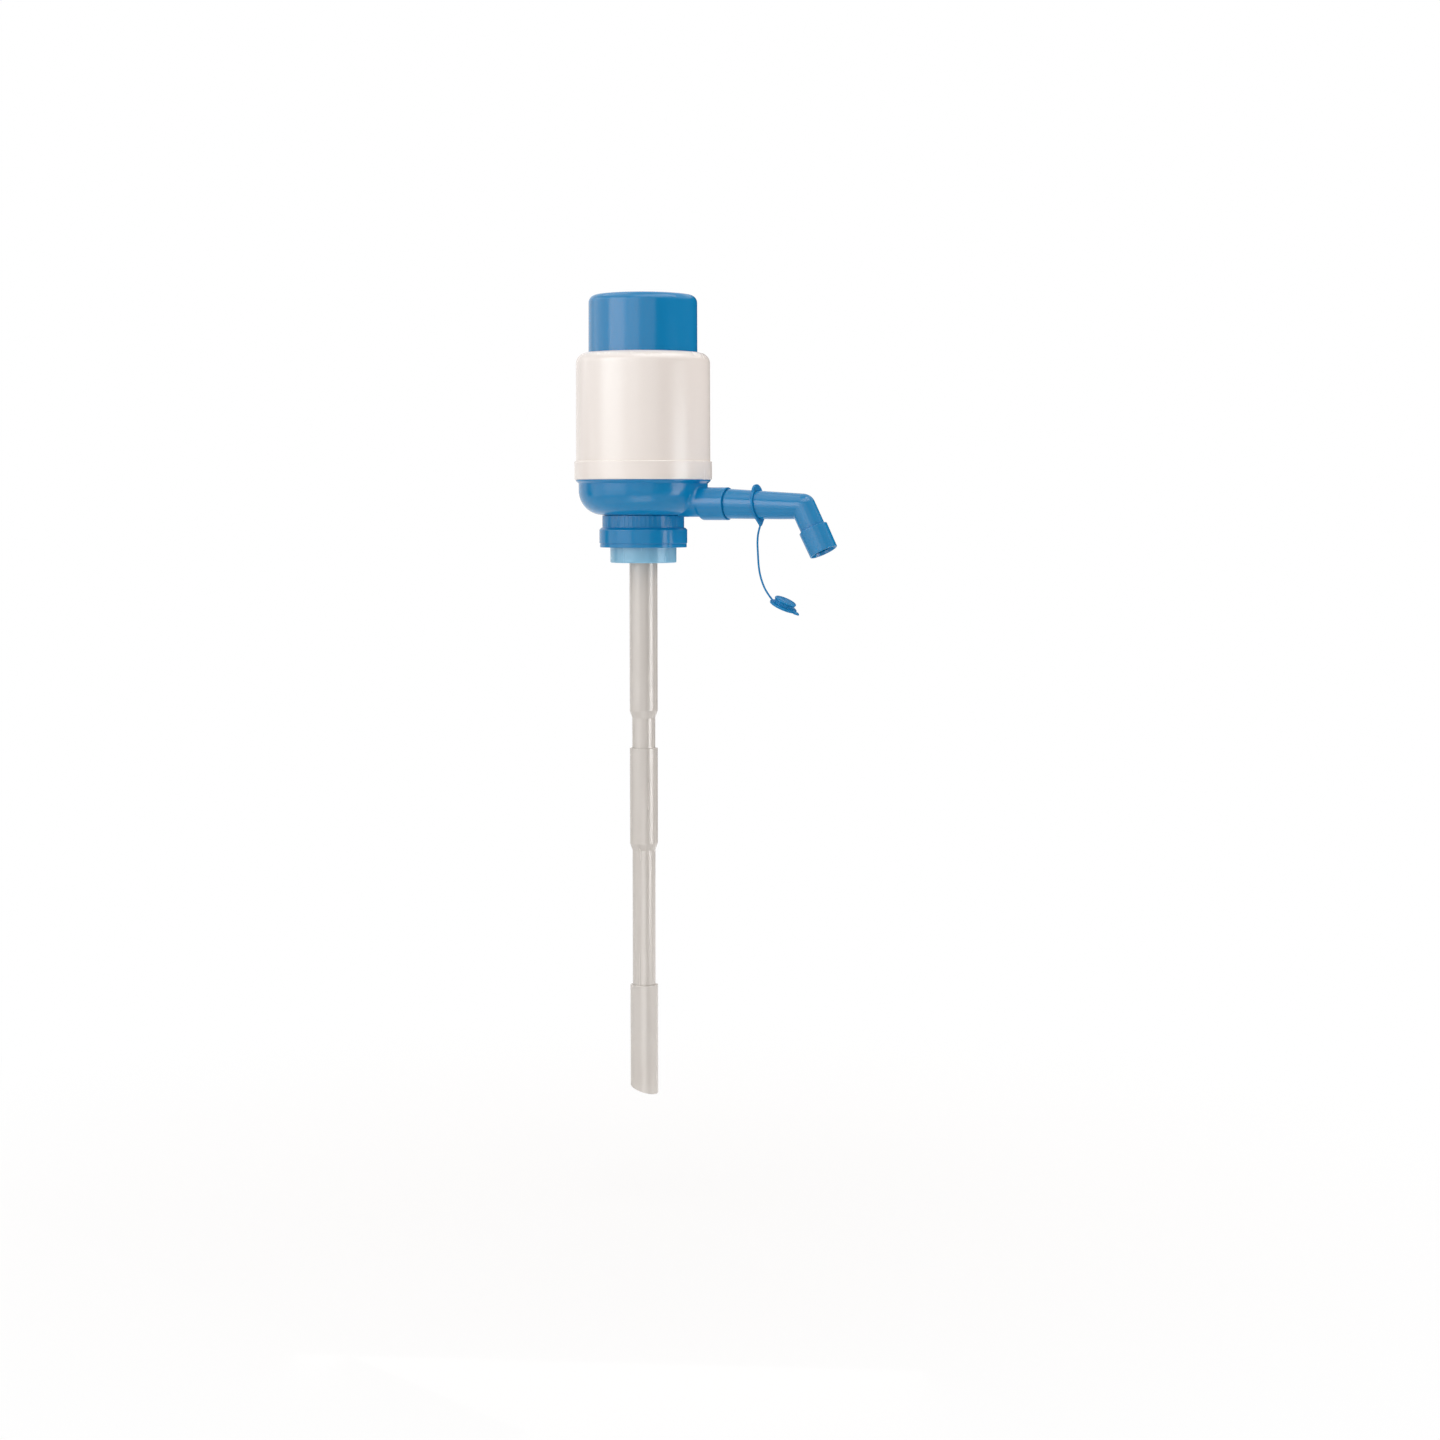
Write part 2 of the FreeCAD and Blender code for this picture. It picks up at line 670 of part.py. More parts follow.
def build_neck_plug():
    """Plug with its clamping flange, its snap lip and the spoked hub for the water elbow."""
    wall = spun("PlugWall", [
        corner("plug_bore", "-plug_length"),
        corner("plug_radius", "-plug_length"),
        corner("plug_radius", "0"),
        corner("plug_radius - plug_relief", "0"),
        corner("plug_radius - plug_relief", "gasket_thickness"),
        corner("plug_flange_radius", "gasket_thickness"),
        corner("plug_flange_radius", "plug_flange_top"),
        corner("plug_neck_radius", "plug_flange_top"),
        corner("plug_neck_radius", "bowl_floor_top"),
        corner("plug_neck_radius + plug_lip_overhang", "bowl_floor_top"),
        corner("plug_neck_radius", "bowl_floor_top + plug_lip_height"),
        corner("plug_bore", "bowl_floor_top + plug_lip_height"),
    ])
    hub = spun_ring("PlugHub", "hub_bore", "hub_radius", "-hub_length", "0")
    spokes = start_body("PlugSpokes")
    reach = "plug_bore + plug_wall / 2"
    inner = "hub_bore + hub_wall / 2"
    spoke = padded(spokes, [
        corner(inner, "-spoke_width / 2"),
        corner(reach, "-spoke_width / 2"),
        corner(reach, "spoke_width / 2"),
        corner(inner, "spoke_width / 2"),
    ], "hub_length")
    polar_copies(spokes, spoke, "spoke_count")
    place(spokes, z="-hub_length")
    notch = document.addObject("Part::Box", "PlugNotch")
    bind(notch, Length="plug_neck_radius", Width="2 * (branch_radius + moving_gap)",
         Height="plug_lip_height + plug_wall")
    place(notch, x="plug_bore - plug_wall", y="-branch_radius - moving_gap", z="bowl_floor_top")
    keep(cut("neck_plug", joined("PlugSolid", [wall, hub, spokes]), notch), "neck_plug")


def build_neck_gasket():
    """Flat ring between the plug's flange and the rim of the bottle."""
    gasket = spun_ring("neck_gasket", "gasket_bore", "plug_flange_radius", "0", "gasket_thickness")
    keep(gasket, "neck_gasket")


def build_neck_nut():
    """Nut with a ribbed sleeve, a smooth ring, a lip and a coarse thread inside."""
    body = spun("neck_nut", [
        corner("nut_thread_bore", "nut_bottom"),
        corner("nut_lip_radius - nut_lip_chamfer", "nut_bottom"),
        corner("nut_lip_radius", "nut_bottom + nut_lip_chamfer"),
        corner("nut_lip_radius", "nut_lip_top"),
        corner("nut_ring_radius - nut_groove_depth", "nut_lip_top"),
        corner("nut_ring_radius - nut_groove_depth", "nut_ring_bottom"),
        corner("nut_ring_radius", "nut_ring_bottom"),
        corner("nut_ring_radius", "nut_ring_rise - nut_ring_chamfer"),
        corner("nut_ring_radius - nut_ring_chamfer", "nut_ring_rise"),
        corner("nut_sleeve_radius", "nut_ring_rise"),
        corner("nut_sleeve_radius", "nut_top"),
        corner("nut_plain_bore", "nut_top"),
        corner("nut_plain_bore", "nut_roof_top"),
        corner("nut_hole_radius", "nut_roof_top"),
        corner("nut_hole_radius", "nut_roof_bottom"),
        corner("nut_plain_bore", "nut_roof_bottom"),
        corner("nut_plain_bore", "-nut_step_depth"),
        corner("nut_thread_bore", "-nut_step_depth - nut_thread_bore + nut_plain_bore"),
    ])
    rib = padded(body, [
        corner("nut_sleeve_radius - nut_rib_height", "-nut_rib_width / 2"),
        corner("nut_sleeve_radius + nut_rib_height", "-nut_rib_crest_width / 2"),
        corner("nut_sleeve_radius + nut_rib_height", "nut_rib_crest_width / 2"),
        corner("nut_sleeve_radius - nut_rib_height", "nut_rib_width / 2"),
    ], "nut_top")
    document.recompute()
    polar_copies(body, rib, "nut_rib_count")
    root = "nut_thread_bore + nut_groove_depth / 2"
    low = "nut_bottom + nut_thread_crest_width"
    slope = "(nut_thread_root_width - nut_thread_crest_width) / 2"
    sketch = draw_outline(body, "XZ_Plane", [
        corner(root, low),
        corner(root, f"{low} + nut_thread_root_width"),
        corner("nut_crest_radius", f"{low} + {slope} + nut_thread_crest_width"),
        corner("nut_crest_radius", f"{low} + {slope}"),
    ])
    thread = body.newObject("PartDesign::AdditiveHelix", "Thread")
    thread.Profile = sketch
    thread.ReferenceAxis = (sketch, ["V_Axis"])
    thread.Mode = 0
    bind(thread, Pitch="nut_thread_pitch", Height="nut_thread_rise")
    body.Tip = thread
    keep(body, "neck_nut")


# ---------------------------------------------------------------------------------------------
# Housing: bowl and shell
# ---------------------------------------------------------------------------------------------


def build_base_bowl():
    """Bowl with its stop flange, and the stub and socket that lead out to the spout."""
    inner_corner = "bowl_corner_radius - bowl_wall"
    bead_bottom = "snap_bead_level - snap_bead_width / 2"
    bead_top = "snap_bead_level + snap_bead_width / 2"
    outside = spun("BowlOutside", [
        corner("bowl_hole_radius", "bowl_floor_height"),
        corner("bowl_radius", "bowl_floor_height", rounding="bowl_corner_radius"),
        corner("bowl_radius", "stop_flange_bottom"),
        corner("stop_flange_radius", "stop_flange_bottom", rounding="stop_flange_round"),
        corner("stop_flange_radius", "shell_bottom"),
        corner("bowl_radius", "shell_bottom"),
        corner("bowl_radius", bead_bottom),
        corner("snap_bead_radius", "snap_bead_level"),
        corner("bowl_radius", bead_top),
        corner("bowl_radius", "bowl_rim_height"),
        corner("bowl_hole_radius", "bowl_rim_height"),
    ])
    above = "bowl_rim_height + bowl_wall"
    cavity = spun("BowlCavity", [
        corner("0", "bowl_floor_top"),
        corner("bowl_bore", "bowl_floor_top", rounding=inner_corner),
        corner("bowl_bore", above),
        corner("0", above),
    ])
    hole = rod("BowlHole", "bowl_hole_radius", "bowl_floor_top", z="bowl_floor_height - bowl_wall")
    level = "spout_axis_height"
    stub = rod("Stub", "stub_radius", "flare_start - stub_start", "stub_start", level, "90")
    flare = rod("Flare", "stub_radius", "flare_length", "flare_start", level, "90",
                end_radius="socket_radius")
    socket = rod("Socket", "socket_radius", "socket_length", "flare_end", level, "90")
    stub_bore = rod("StubBore", "stub_bore_radius", "socket_mouth - bowl_floor_radius",
                    "bowl_floor_radius", level, "90")
    socket_bore = rod("SocketBore", "socket_bore_radius", "2 * socket_depth", "socket_floor",
                      level, "90")
    bead_room = rod("BeadRoom", "spout_bead_radius + moving_gap",
                    "spout_bead_width + 2 * moving_gap", "spout_start + moving_gap",
                    level, "90")
    solid = joined("BowlSolid", [outside, stub, flare, socket])
    hollow = joined("BowlHollow", [cavity, hole, stub_bore, socket_bore, bead_room])
    keep(cut("base_bowl", solid, hollow), "base_bowl")


def build_housing_shell():
    """Shell with its skirt, its rounded shoulder and the sleeve that guides the plunger."""
    roof_bottom = "shell_top - shell_roof_thickness"
    shell = spun("housing_shell", [
        corner("skirt_bore", "shell_bottom"),
        corner("skirt_radius", "shell_bottom", rounding="skirt_edge_round"),
        corner("skirt_radius", "skirt_top", rounding="skirt_overhang / 2"),
        corner("shell_radius + shell_draft", "skirt_top"),
        corner("shell_radius", "shell_top", rounding="shell_shoulder_radius"),
        corner("opening_radius", "shell_top", rounding="shell_opening_round"),
        corner("opening_radius", "guide_end"),
        corner("guide_radius", "guide_end"),
        corner("guide_radius", roof_bottom),
        corner("shell_bore", roof_bottom, rounding="shell_inner_rounding"),
        corner("shell_bore", "plate_top"),
        corner("skirt_bore", "plate_top"),
    ])
    keep(shell, "housing_shell")


# ---------------------------------------------------------------------------------------------
# Air pump: valve plate, valves, bellows, spring and plunger
# ---------------------------------------------------------------------------------------------


def port_tools(label, bottom, top):
    """Holes for an umbrella valve: one for its stem, and a ring of air ports round it."""
    length = f"{top} - ({bottom})"
    stem = rod(f"{label}StemHole", "valve_stem_radius + press_gap", length, z=bottom)
    ports = start_body(f"{label}Ports")
    sketch = ports.newObject("Sketcher::SketchObject", "PortCircle")
    plane = next(item for item in ports.Origin.OriginFeatures if item.Role == "XY_Plane")
    sketch.AttachmentSupport = [(plane, "")]
    sketch.MapMode = "FlatFace"
    ring, radius = number("port_ring_radius"), number("port_radius")
    sketch.addGeometry(Part.Circle(V(ring, 0, 0), V(0, 0, 1), radius), False)
    bound_radius = sketch.addConstraint(Sketcher.Constraint("Radius", 0, radius))
    sketch.setExpression(f"Constraints[{bound_radius}]", bound("port_radius"))
    pin_point(sketch, 0, 3, corner("port_ring_radius", "0"))
    pad = ports.newObject("PartDesign::Pad", "PortPad")
    pad.Profile = sketch
    bind(pad, Length=length)
    document.recompute()
    polar_copies(ports, pad, "port_count")
    place(ports, z=bottom)
    return [stem, ports]


def build_plate_seal():
    """Flat ring that seals the valve plate on the bowl's rim."""
    keep(spun_ring("plate_seal", "bowl_bore", "bowl_radius", "bowl_rim_height", "plate_bottom"),
         "plate_seal")


def build_valve_plate():
    """Plate across the bowl, with a collar for the bellows and a boss for the spring."""
    collar_top = "plate_top + collar_height"
    boss_top = "plate_top + spring_boss_height"
    solid = spun("PlateSolid", [
        corner("0", "plate_bottom"),
        corner("plate_radius", "plate_bottom"),
        corner("plate_radius", "plate_top"),
        corner("collar_radius", "plate_top"),
        corner("collar_radius", collar_top),
        corner("collar_bore", collar_top),
        corner("collar_bore", "plate_top"),
        corner("spring_boss_radius", "plate_top"),
        corner("spring_boss_radius", boss_top),
        corner("spring_boss_bore", boss_top),
        corner("spring_boss_bore", "plate_top"),
        corner("0", "plate_top"),
    ])
    holes = joined("PlateHoles", port_tools("Plate", "plate_bottom", "plate_top"))
    keep(cut("valve_plate", solid, holes), "valve_plate")


def build_umbrella_valve(label, underside, topside):
    """Silicone valve: a flat umbrella under a plate, and a stem with a bulb above the plate."""
    thin = "valve_edge_thickness"
    valve = spun(label, [
        corner("0", f"{underside} - valve_drop"),
        corner("valve_stem_radius", f"{underside} - valve_drop"),
        corner("valve_radius", f"{underside} - {thin}"),
        corner("valve_radius", underside),
        corner("valve_stem_radius", underside),
        corner("valve_stem_radius", topside),
        corner("valve_bulb_radius", topside),
        corner("valve_stem_radius", f"{topside} + valve_bulb_height"),
        corner("0", f"{topside} + valve_bulb_height"),
    ])
    keep(valve, label)


def build_bellows():
    """Rubber bellows: a ring fold, repeated up the bellows, between two plain cuffs."""
    body = start_body("bellows")
    start = "plate_top + cuff_height"
    middle = f"{start} + bellows_pitch / 2"
    end = f"{start} + bellows_pitch"
    fold = spin(body, [
        corner("bellows_valley", start),
        corner("bellows_radius", middle, rounding="bellows_fold_round"),
        corner("bellows_valley", end),
        corner("bellows_valley - bellows_wall", end),
        corner("bellows_radius - bellows_wall", middle, rounding="bellows_fold_round / 2"),
        corner("bellows_valley - bellows_wall", start),
    ])
    document.recompute()
    folds = body.newObject("PartDesign::LinearPattern", "Folds")
    folds.Originals = [fold]
    folds.Direction = (fold.Profile[0], ["V_Axis"])
    bind(folds, Length="bellows_pitch * (bellows_fold_count - 1)",
         Occurrences="bellows_fold_count")
    body.Tip = folds
    document.recompute()
    inside = "bellows_valley - bellows_wall"
    neck = "seat_bottom - cuff_height"
    spin(body, [
        corner("cuff_bore", "plate_top"),
        corner("cuff_radius", "plate_top"),
        corner("cuff_radius", start),
        corner(inside, start),
        corner(inside, f"{start} - cuff_wall"),
        corner("cuff_bore", f"{start} - cuff_wall"),
    ])
    spin(body, [
        corner("cuff_bore", f"{neck} + cuff_wall"),
        corner(inside, f"{neck} + cuff_wall"),
        corner(inside, neck),
        corner("cuff_radius", neck),
        corner("cuff_radius", "seat_bottom"),
        corner("cuff_bore", "seat_bottom"),
    ])
    keep(body, "bellows")


def build_bellows_hoops():
    """Hoops that spread the two cuffs of the bellows against their collars."""
    for label, radius, bottom, top in (
            ("bellows_lower_hoop", "lower_hoop_radius", "plate_top", "plate_top + hoop_height"),
            ("bellows_upper_hoop", "upper_hoop_radius", "seat_bottom - hoop_height",
             "seat_bottom")):
        keep(spun_ring(label, f"{radius} - hoop_wall", radius, bottom, top), label)


def build_bellows_top_seat():
    """Disc under the plunger's roof, with a notched rim above and a collar and boss below."""
    collar_end = "seat_bottom - collar_height"
    boss_end = "seat_bottom - spring_boss_height"
    rim_bore = "seat_rim_radius - seat_rim_wall"
    solid = spun("SeatSolid", [
        corner("0", "seat_bottom"),
        corner("spring_boss_bore", "seat_bottom"),
        corner("spring_boss_bore", boss_end),
        corner("spring_boss_radius", boss_end),
        corner("spring_boss_radius", "seat_bottom"),
        corner("seat_collar_bore", "seat_bottom"),
        corner("seat_collar_bore", collar_end),
        corner("collar_radius", collar_end),
        corner("collar_radius", "seat_top"),
        corner("seat_rim_radius", "seat_top"),
        corner("seat_rim_radius", "plunger_ceiling"),
        corner(rim_bore, "plunger_ceiling"),
        corner(rim_bore, "seat_top"),
        corner("0", "seat_top"),
    ])
    notches = start_body("SeatNotches")
    notch = padded(notches, [
        corner("0", "-seat_notch_width / 2"),
        corner("collar_radius", "-seat_notch_width / 2"),
        corner("collar_radius", "seat_notch_width / 2"),
        corner("0", "seat_notch_width / 2"),
    ], "seat_notch_height")
    document.recompute()
    polar_copies(notches, notch, "seat_notch_count")
    place(notches, z="plunger_ceiling - seat_notch_height")
    tools = port_tools("Seat", "seat_bottom", "seat_top") + [notches]
    keep(cut("bellows_top_seat", solid, joined("SeatHoles", tools)), "bellows_top_seat")


def build_return_spring():
    """Compression spring inside the bellows, between the plate and the seat."""
    span = "seat_bottom - plate_top - 2 * spring_wire_radius - 2 * press_gap"
    coil = document.addObject("Part::Helix", "SpringCoil")
    bind(coil, Radius="spring_radius", Height=span, Pitch=f"({span}) / spring_turns")
    wire = document.addObject("Part::Circle", "SpringWire")
    bind(wire, Radius="spring_wire_radius")
    wire.Placement = FreeCAD.Placement(V(0, 0, 0), FreeCAD.Rotation(V(1, 0, 0), 90))
    wire.setExpression("Placement.Base.x", bound("spring_radius"))
    spring = document.addObject("Part::Sweep", "return_spring")
    spring.Sections = [wire]
    spring.Spine = (coil, [])
    spring.Solid = True
    spring.Frenet = True
    place(spring, z="plate_top + spring_wire_radius + press_gap")
    keep(spring, "return_spring")


def build_plunger_cap():
    """Plunger: a drafted cup with a domed top and a flange that stops under the guide."""
    shoulder = "plunger_top - plunger_crown"
    dome = "(plunger_top_radius ^ 2 + plunger_crown ^ 2) / (2 * plunger_crown)"
    body = spun("plunger_cap", [
        corner("plunger_bore", "plunger_bottom"),
        corner("plunger_flange_radius", "plunger_bottom"),
        corner("plunger_flange_radius", "plunger_flange_top"),
        corner("plunger_radius", "plunger_flange_top"),
        corner("plunger_top_radius", shoulder, bow=dome),
        corner("0", "plunger_top"),
        corner("0", "plunger_ceiling"),
        corner("plunger_bore", "plunger_ceiling", rounding="plunger_inner_round"),
    ])
    round_edge(body, "plunger_top_radius", shoulder, "plunger_edge_round")
    keep(body, "plunger_cap")


# ---------------------------------------------------------------------------------------------
# Water path: elbow, spout and dip tube
# ---------------------------------------------------------------------------------------------


def build_water_elbow():
    """Upright stem that carries the dip tube, with a branch through the bowl's stub."""
    collar = "stem_radius + stem_collar_overhang"
    stem = spun("ElbowStem", [
        corner("0", "stem_bottom"),
        corner("stem_radius", "stem_bottom"),
        corner("stem_radius", "0"),
        corner(collar, "0"),
        corner(collar, "stem_collar_height"),
        corner("stem_radius", "stem_collar_height"),
        corner("stem_radius", "elbow_top", rounding="elbow_roof_round"),
        corner("0", "elbow_top"),
    ])
    level = "spout_axis_height"
    branch = rod("ElbowBranch", "branch_radius", "branch_end", "0", level, "90")
    rise = f"{level} + branch_bore_radius - stem_bottom"
    stem_bore = rod("ElbowStemBore", "stem_bore_radius", rise, z="stem_bottom")
    branch_bore = rod("ElbowBranchBore", "branch_bore_radius", "branch_end", "0", level, "90")
    groove_start = "elbow_seal_place - elbow_groove_width / 2"
    groove_outside = rod("ElbowGrooveOutside", "stub_radius", "elbow_groove_width",
                         groove_start, level, "90")
    groove_core = rod("ElbowGrooveCore", "elbow_groove_radius", "elbow_groove_width",
                      groove_start, level, "90")
    groove = cut("ElbowGroove", groove_outside, groove_core)
    solid = joined("ElbowSolid", [stem, branch])
    hollow = joined("ElbowHollow", [stem_bore, branch_bore, groove])
    keep(cut("water_elbow", solid, hollow), "water_elbow")


def build_o_ring(label, circle, section, where):
    """Rubber ring round the spout's axis."""
    ring = document.addObject("Part::Torus", label)
    bind(ring, Radius1=circle, Radius2=section)
    place(ring, x=where, z="spout_axis_height", tilt="90")
    keep(ring, label)


def build_spout():
    """Spout: a root that turns in the socket, a tapering leg, a ball corner and a sloping leg."""
    level = "spout_axis_height"
    drop = "spout_corner_height"
    lean = "90 + spout_leg_slope"
    slope = "90 + spout_bend"
    leg_start = "socket_mouth + spout_shoulder_gap * cos(spout_leg_slope)"
    leg_height = f"{level} - spout_shoulder_gap * sin(spout_leg_slope)"
    leg_length = "spout_leg_length - spout_shoulder_gap"
    corner_bore = "spout_corner_radius - spout_wall"
    root = rod("SpoutRoot", "spout_root_radius", "spout_root_length + 2 * spout_shoulder_gap",
               "spout_start", level, "90")
    bead = rod("SpoutBead", "spout_bead_radius", "spout_bead_width",
               "spout_start + 2 * moving_gap", level, "90")
    leg = rod("SpoutLeg", "spout_leg_radius", leg_length, leg_start, leg_height, lean,
              end_radius="spout_corner_radius")
    ball = document.addObject("Part::Sphere", "SpoutBall")
    bind(ball, Radius="spout_corner_radius")
    place(ball, x="spout_corner", z=drop)
    fall = rod("SpoutFall", "spout_corner_radius", "spout_fall_length", "spout_corner", drop,
               slope, end_radius="spout_neck_radius")
    spigot = rod("SpoutSpigot", "spigot_radius", "spout_fall_length + spigot_length",
                 "spout_corner", drop, slope)
    root_bore = rod("SpoutRootBore", "spout_root_radius - spout_wall",
                    "spout_root_length + 2 * spout_shoulder_gap", "spout_start", level, "90")
    leg_bore = rod("SpoutLegBore", "spout_leg_radius - spout_wall", leg_length, leg_start,
                   leg_height, lean, end_radius=corner_bore)
    ball_bore = document.addObject("Part::Sphere", "SpoutBallBore")
    bind(ball_bore, Radius=corner_bore)
    place(ball_bore, x="spout_corner", z=drop)
    fall_bore = rod("SpoutFallBore", "spout_bore_radius", "spout_fall_length + sleeve_length",
                    "spout_corner", drop, slope)
    groove_width = "2 * (spout_seal_radius + o_ring_room)"
    groove_start = "spout_seal_place - spout_seal_radius - o_ring_room"
    groove_outside = rod("SpoutGrooveOutside", "socket_radius", groove_width, groove_start,
                         level, "90")
    groove_core = rod("SpoutGrooveCore", "spout_groove_radius", groove_width, groove_start,
                      level, "90")
    groove = cut("SpoutGroove", groove_outside, groove_core)
    solid = joined("SpoutSolid", [root, bead, leg, ball, fall, spigot])
    hollow = joined("SpoutHollow", [root_bore, leg_bore, ball_bore, fall_bore, groove])
    keep(cut("spout", solid, hollow), "spout")


def build_spout_sleeve():
    """Sleeve pressed on the spout's end, whose open end is the outlet and the cap's seat."""
    step = "sleeve_length - outlet_depth"
    sleeve = spun("spout_sleeve", [
        corner("sleeve_bore", "0"),
        corner("sleeve_radius", "0", rounding="sleeve_edge_round"),
        corner("sleeve_end_radius", "sleeve_length", rounding="sleeve_edge_round"),
        corner("outlet_radius", "sleeve_length"),
        corner("outlet_radius", step),
        corner("sleeve_bore", step),
    ])
    place(sleeve, x="spout_corner + spout_fall_length * cos(spout_bend)",
          z="spout_corner_height - spout_fall_length * sin(spout_bend)", tilt="90 + spout_bend")
    keep(sleeve, "spout_sleeve")


def build_dip_tube(label, top, shoulder, end):
    """Section of the dip tube: a wide top, a taper and a narrow end that enters the next one."""
    taper_end = f"{shoulder} - tube_taper_length"
    tip = f"{end} - tube_spigot"
    tube = spun(label, [
        corner("tube_narrow_bore", tip),
        corner("tube_narrow_radius", tip),
        corner("tube_narrow_radius", taper_end),
        corner("tube_wide_radius", shoulder),
        corner("tube_wide_radius", top),
        corner("tube_bore", top),
        corner("tube_bore", shoulder),
        corner("tube_narrow_bore", taper_end),
    ])
    keep(tube, label)


def build_dip_tube_foot():
    """Last section of the dip tube, cut at a slant so that it can't seal on the bottle's floor."""
    tube = spun_ring("FootTube", "tube_bore", "tube_wide_radius", "foot_bottom", "foot_top")
    blade = document.addObject("Part::Box", "FootBlade")
    bind(blade, Length="4 * tube_wide_radius", Width="4 * tube_wide_radius",
         Height="4 * tube_wide_radius")
    # The blade's top face passes through the tube's lowest point, on its +X side.
    reach = "4 * tube_wide_radius"
    place(blade, x=f"tube_wide_radius - {reach} * (cos(foot_cut_angle) + sin(foot_cut_angle))",
          y="-2 * tube_wide_radius",
          z=f"foot_bottom + {reach} * (sin(foot_cut_angle) - cos(foot_cut_angle))",
          tilt="foot_cut_angle")
    keep(cut("dip_tube_foot", tube, blade), "dip_tube_foot")


# ---------------------------------------------------------------------------------------------
# Tether: ring, strand and dust cap
# ---------------------------------------------------------------------------------------------


def build_tether_ring():
    """Flat ring that leans on the spout, with a finger ear above and a pointed tip below."""
    turned = "90 - ring_lean"
    face = "ring_place - ring_thickness / 2 * cos(ring_lean)"
    level = "ring_height - ring_thickness / 2 * sin(ring_lean)"
    rise = "(ring_ear_reach - ring_ear_radius)"
    disc = rod("RingDisc", "ring_radius", "ring_thickness", face, level, turned)
    ear = rod("RingEar", "ring_ear_radius", "ring_thickness", f"{face} - {rise} * sin(ring_lean)",
              f"{level} + {rise} * cos(ring_lean)", turned)
    # The tip is a small disc, joined to the ring by the outline of their two common tangents.
    drop = "(ring_tip_reach - ring_tip_radius)"
    tangent = f"asin((ring_radius - ring_tip_radius) / {drop})"
    tip = rod("RingTip", "ring_tip_radius", "ring_thickness", f"{face} + {drop} * sin(ring_lean)",
              f"{level} - {drop} * cos(ring_lean)", turned)
    body = start_body("RingTaper")
    padded(body, [
        corner(f"ring_radius * sin({tangent})", f"-ring_radius * cos({tangent})"),
        corner(f"{drop} + ring_tip_radius * sin({tangent})", f"-ring_tip_radius * cos({tangent})"),
        corner(f"{drop} + ring_tip_radius * sin({tangent})", f"ring_tip_radius * cos({tangent})"),
        corner(f"ring_radius * sin({tangent})", f"ring_radius * cos({tangent})"),
    ], "ring_thickness")
    place(body, x=face, z=level, tilt=turned)
    bore = rod("RingBore", "ring_bore", "2 * ring_thickness",
               "ring_place - ring_thickness * cos(ring_lean)",
               "ring_height - ring_thickness * sin(ring_lean)", turned)
    keep(cut("tether_ring", joined("RingSolid", [disc, ear, tip, body]), bore), "tether_ring")


def strand_path(route):
    """Straight runs joined by tangent arcs, each arc as large as its two runs allow."""
    points = [V(x, 0, z) for x, z in route]
    edges = []
    radii = []
    start = points[0]
    for before, here, after in zip(points, points[1:], points[2:]):
        back = (before - here).normalize()
        ahead = (after - here).normalize()
        half_turn = (math.pi - back.getAngle(ahead)) / 2
        share = STRAND_RUN_SHARE * min((before - here).Length, (after - here).Length)
        radius = share / math.tan(half_turn)
        radii.append(radius)
        first = here + back * share
        last = here + ahead * share
        bisector = (back + ahead).normalize()
        middle = here + bisector * (radius / math.cos(half_turn) - radius)
        edges.append(Part.LineSegment(start, first).toShape())
        edges.append(Part.Arc(first, middle, last).toShape())
        start = last
    edges.append(Part.LineSegment(start, points[-1]).toShape())
    return Part.Wire(edges), radii


def build_tether_strand():
    """Thin moulded strand from the ring's tip to the dust cap."""
    path, radii = strand_path(STRAND_ROUTE)
    radius = number("strand_radius")
    start = path.Edges[0]
    section = Part.Wire(Part.makeCircle(radius, start.valueAt(0), start.tangentAt(0)))
    tube = path.makePipeShell([section], True, False)
    expected = math.pi * radius ** 2 * path.Length
    print("strand length", round(path.Length, 2), "radii", [round(value, 1) for value in radii])
    print("strand volume", round(tube.Volume, 3), "expected", round(expected, 3))
    if abs(tube.Volume / expected - 1) > STRAND_VOLUME_TOLERANCE:
        raise ValueError("the strand's volume does not match its length")
    strand = document.addObject("Part::Feature", "tether_strand")
    strand.Shape = tube
    strand.Placement = FreeCAD.Placement()
    keep(strand, "tether_strand")


def build_dust_cap():
    """Dust cap: a flange with a crowned underside, a hollow boss with a bead, and a pull tab."""
    flange = "cap_flange_thickness"
    boss_top = f"{flange} + cap_boss_height"
    recess = f"{boss_top} - cap_boss_recess"
    bore = "cap_boss_radius - cap_boss_wall"
    body = spun("CapSolid", [
        corner("0", "-cap_crown", bow="(cap_flange_radius ^ 2 + cap_crown ^ 2) / (2 * cap_crown)"),
        corner("cap_flange_radius", "0"),
        corner("cap_flange_radius", flange, rounding="cap_edge_round"),
        corner("cap_boss_radius", flange),
        corner("cap_boss_radius", boss_top, rounding="cap_boss_round"),
        corner(bore, boss_top),
        corner(bore, recess),
        corner("0", recess),
    ])
    half = "cap_tab_width / 2"
    end = "cap_flange_radius + cap_tab_length"
    padded(body, [
        corner("cap_boss_radius", f"-{half}"),
        corner(end, f"-{half}", rounding="cap_tab_round"),
        corner(end, half, rounding="cap_tab_round"),
        corner("cap_boss_radius", half),
    ], "cap_tab_thickness")
    place(body, x="cap_place", z="cap_height", tilt="cap_tilt")
    keep(body, "dust_cap")


# ---------------------------------------------------------------------------------------------
# Build, check and write
# ---------------------------------------------------------------------------------------------


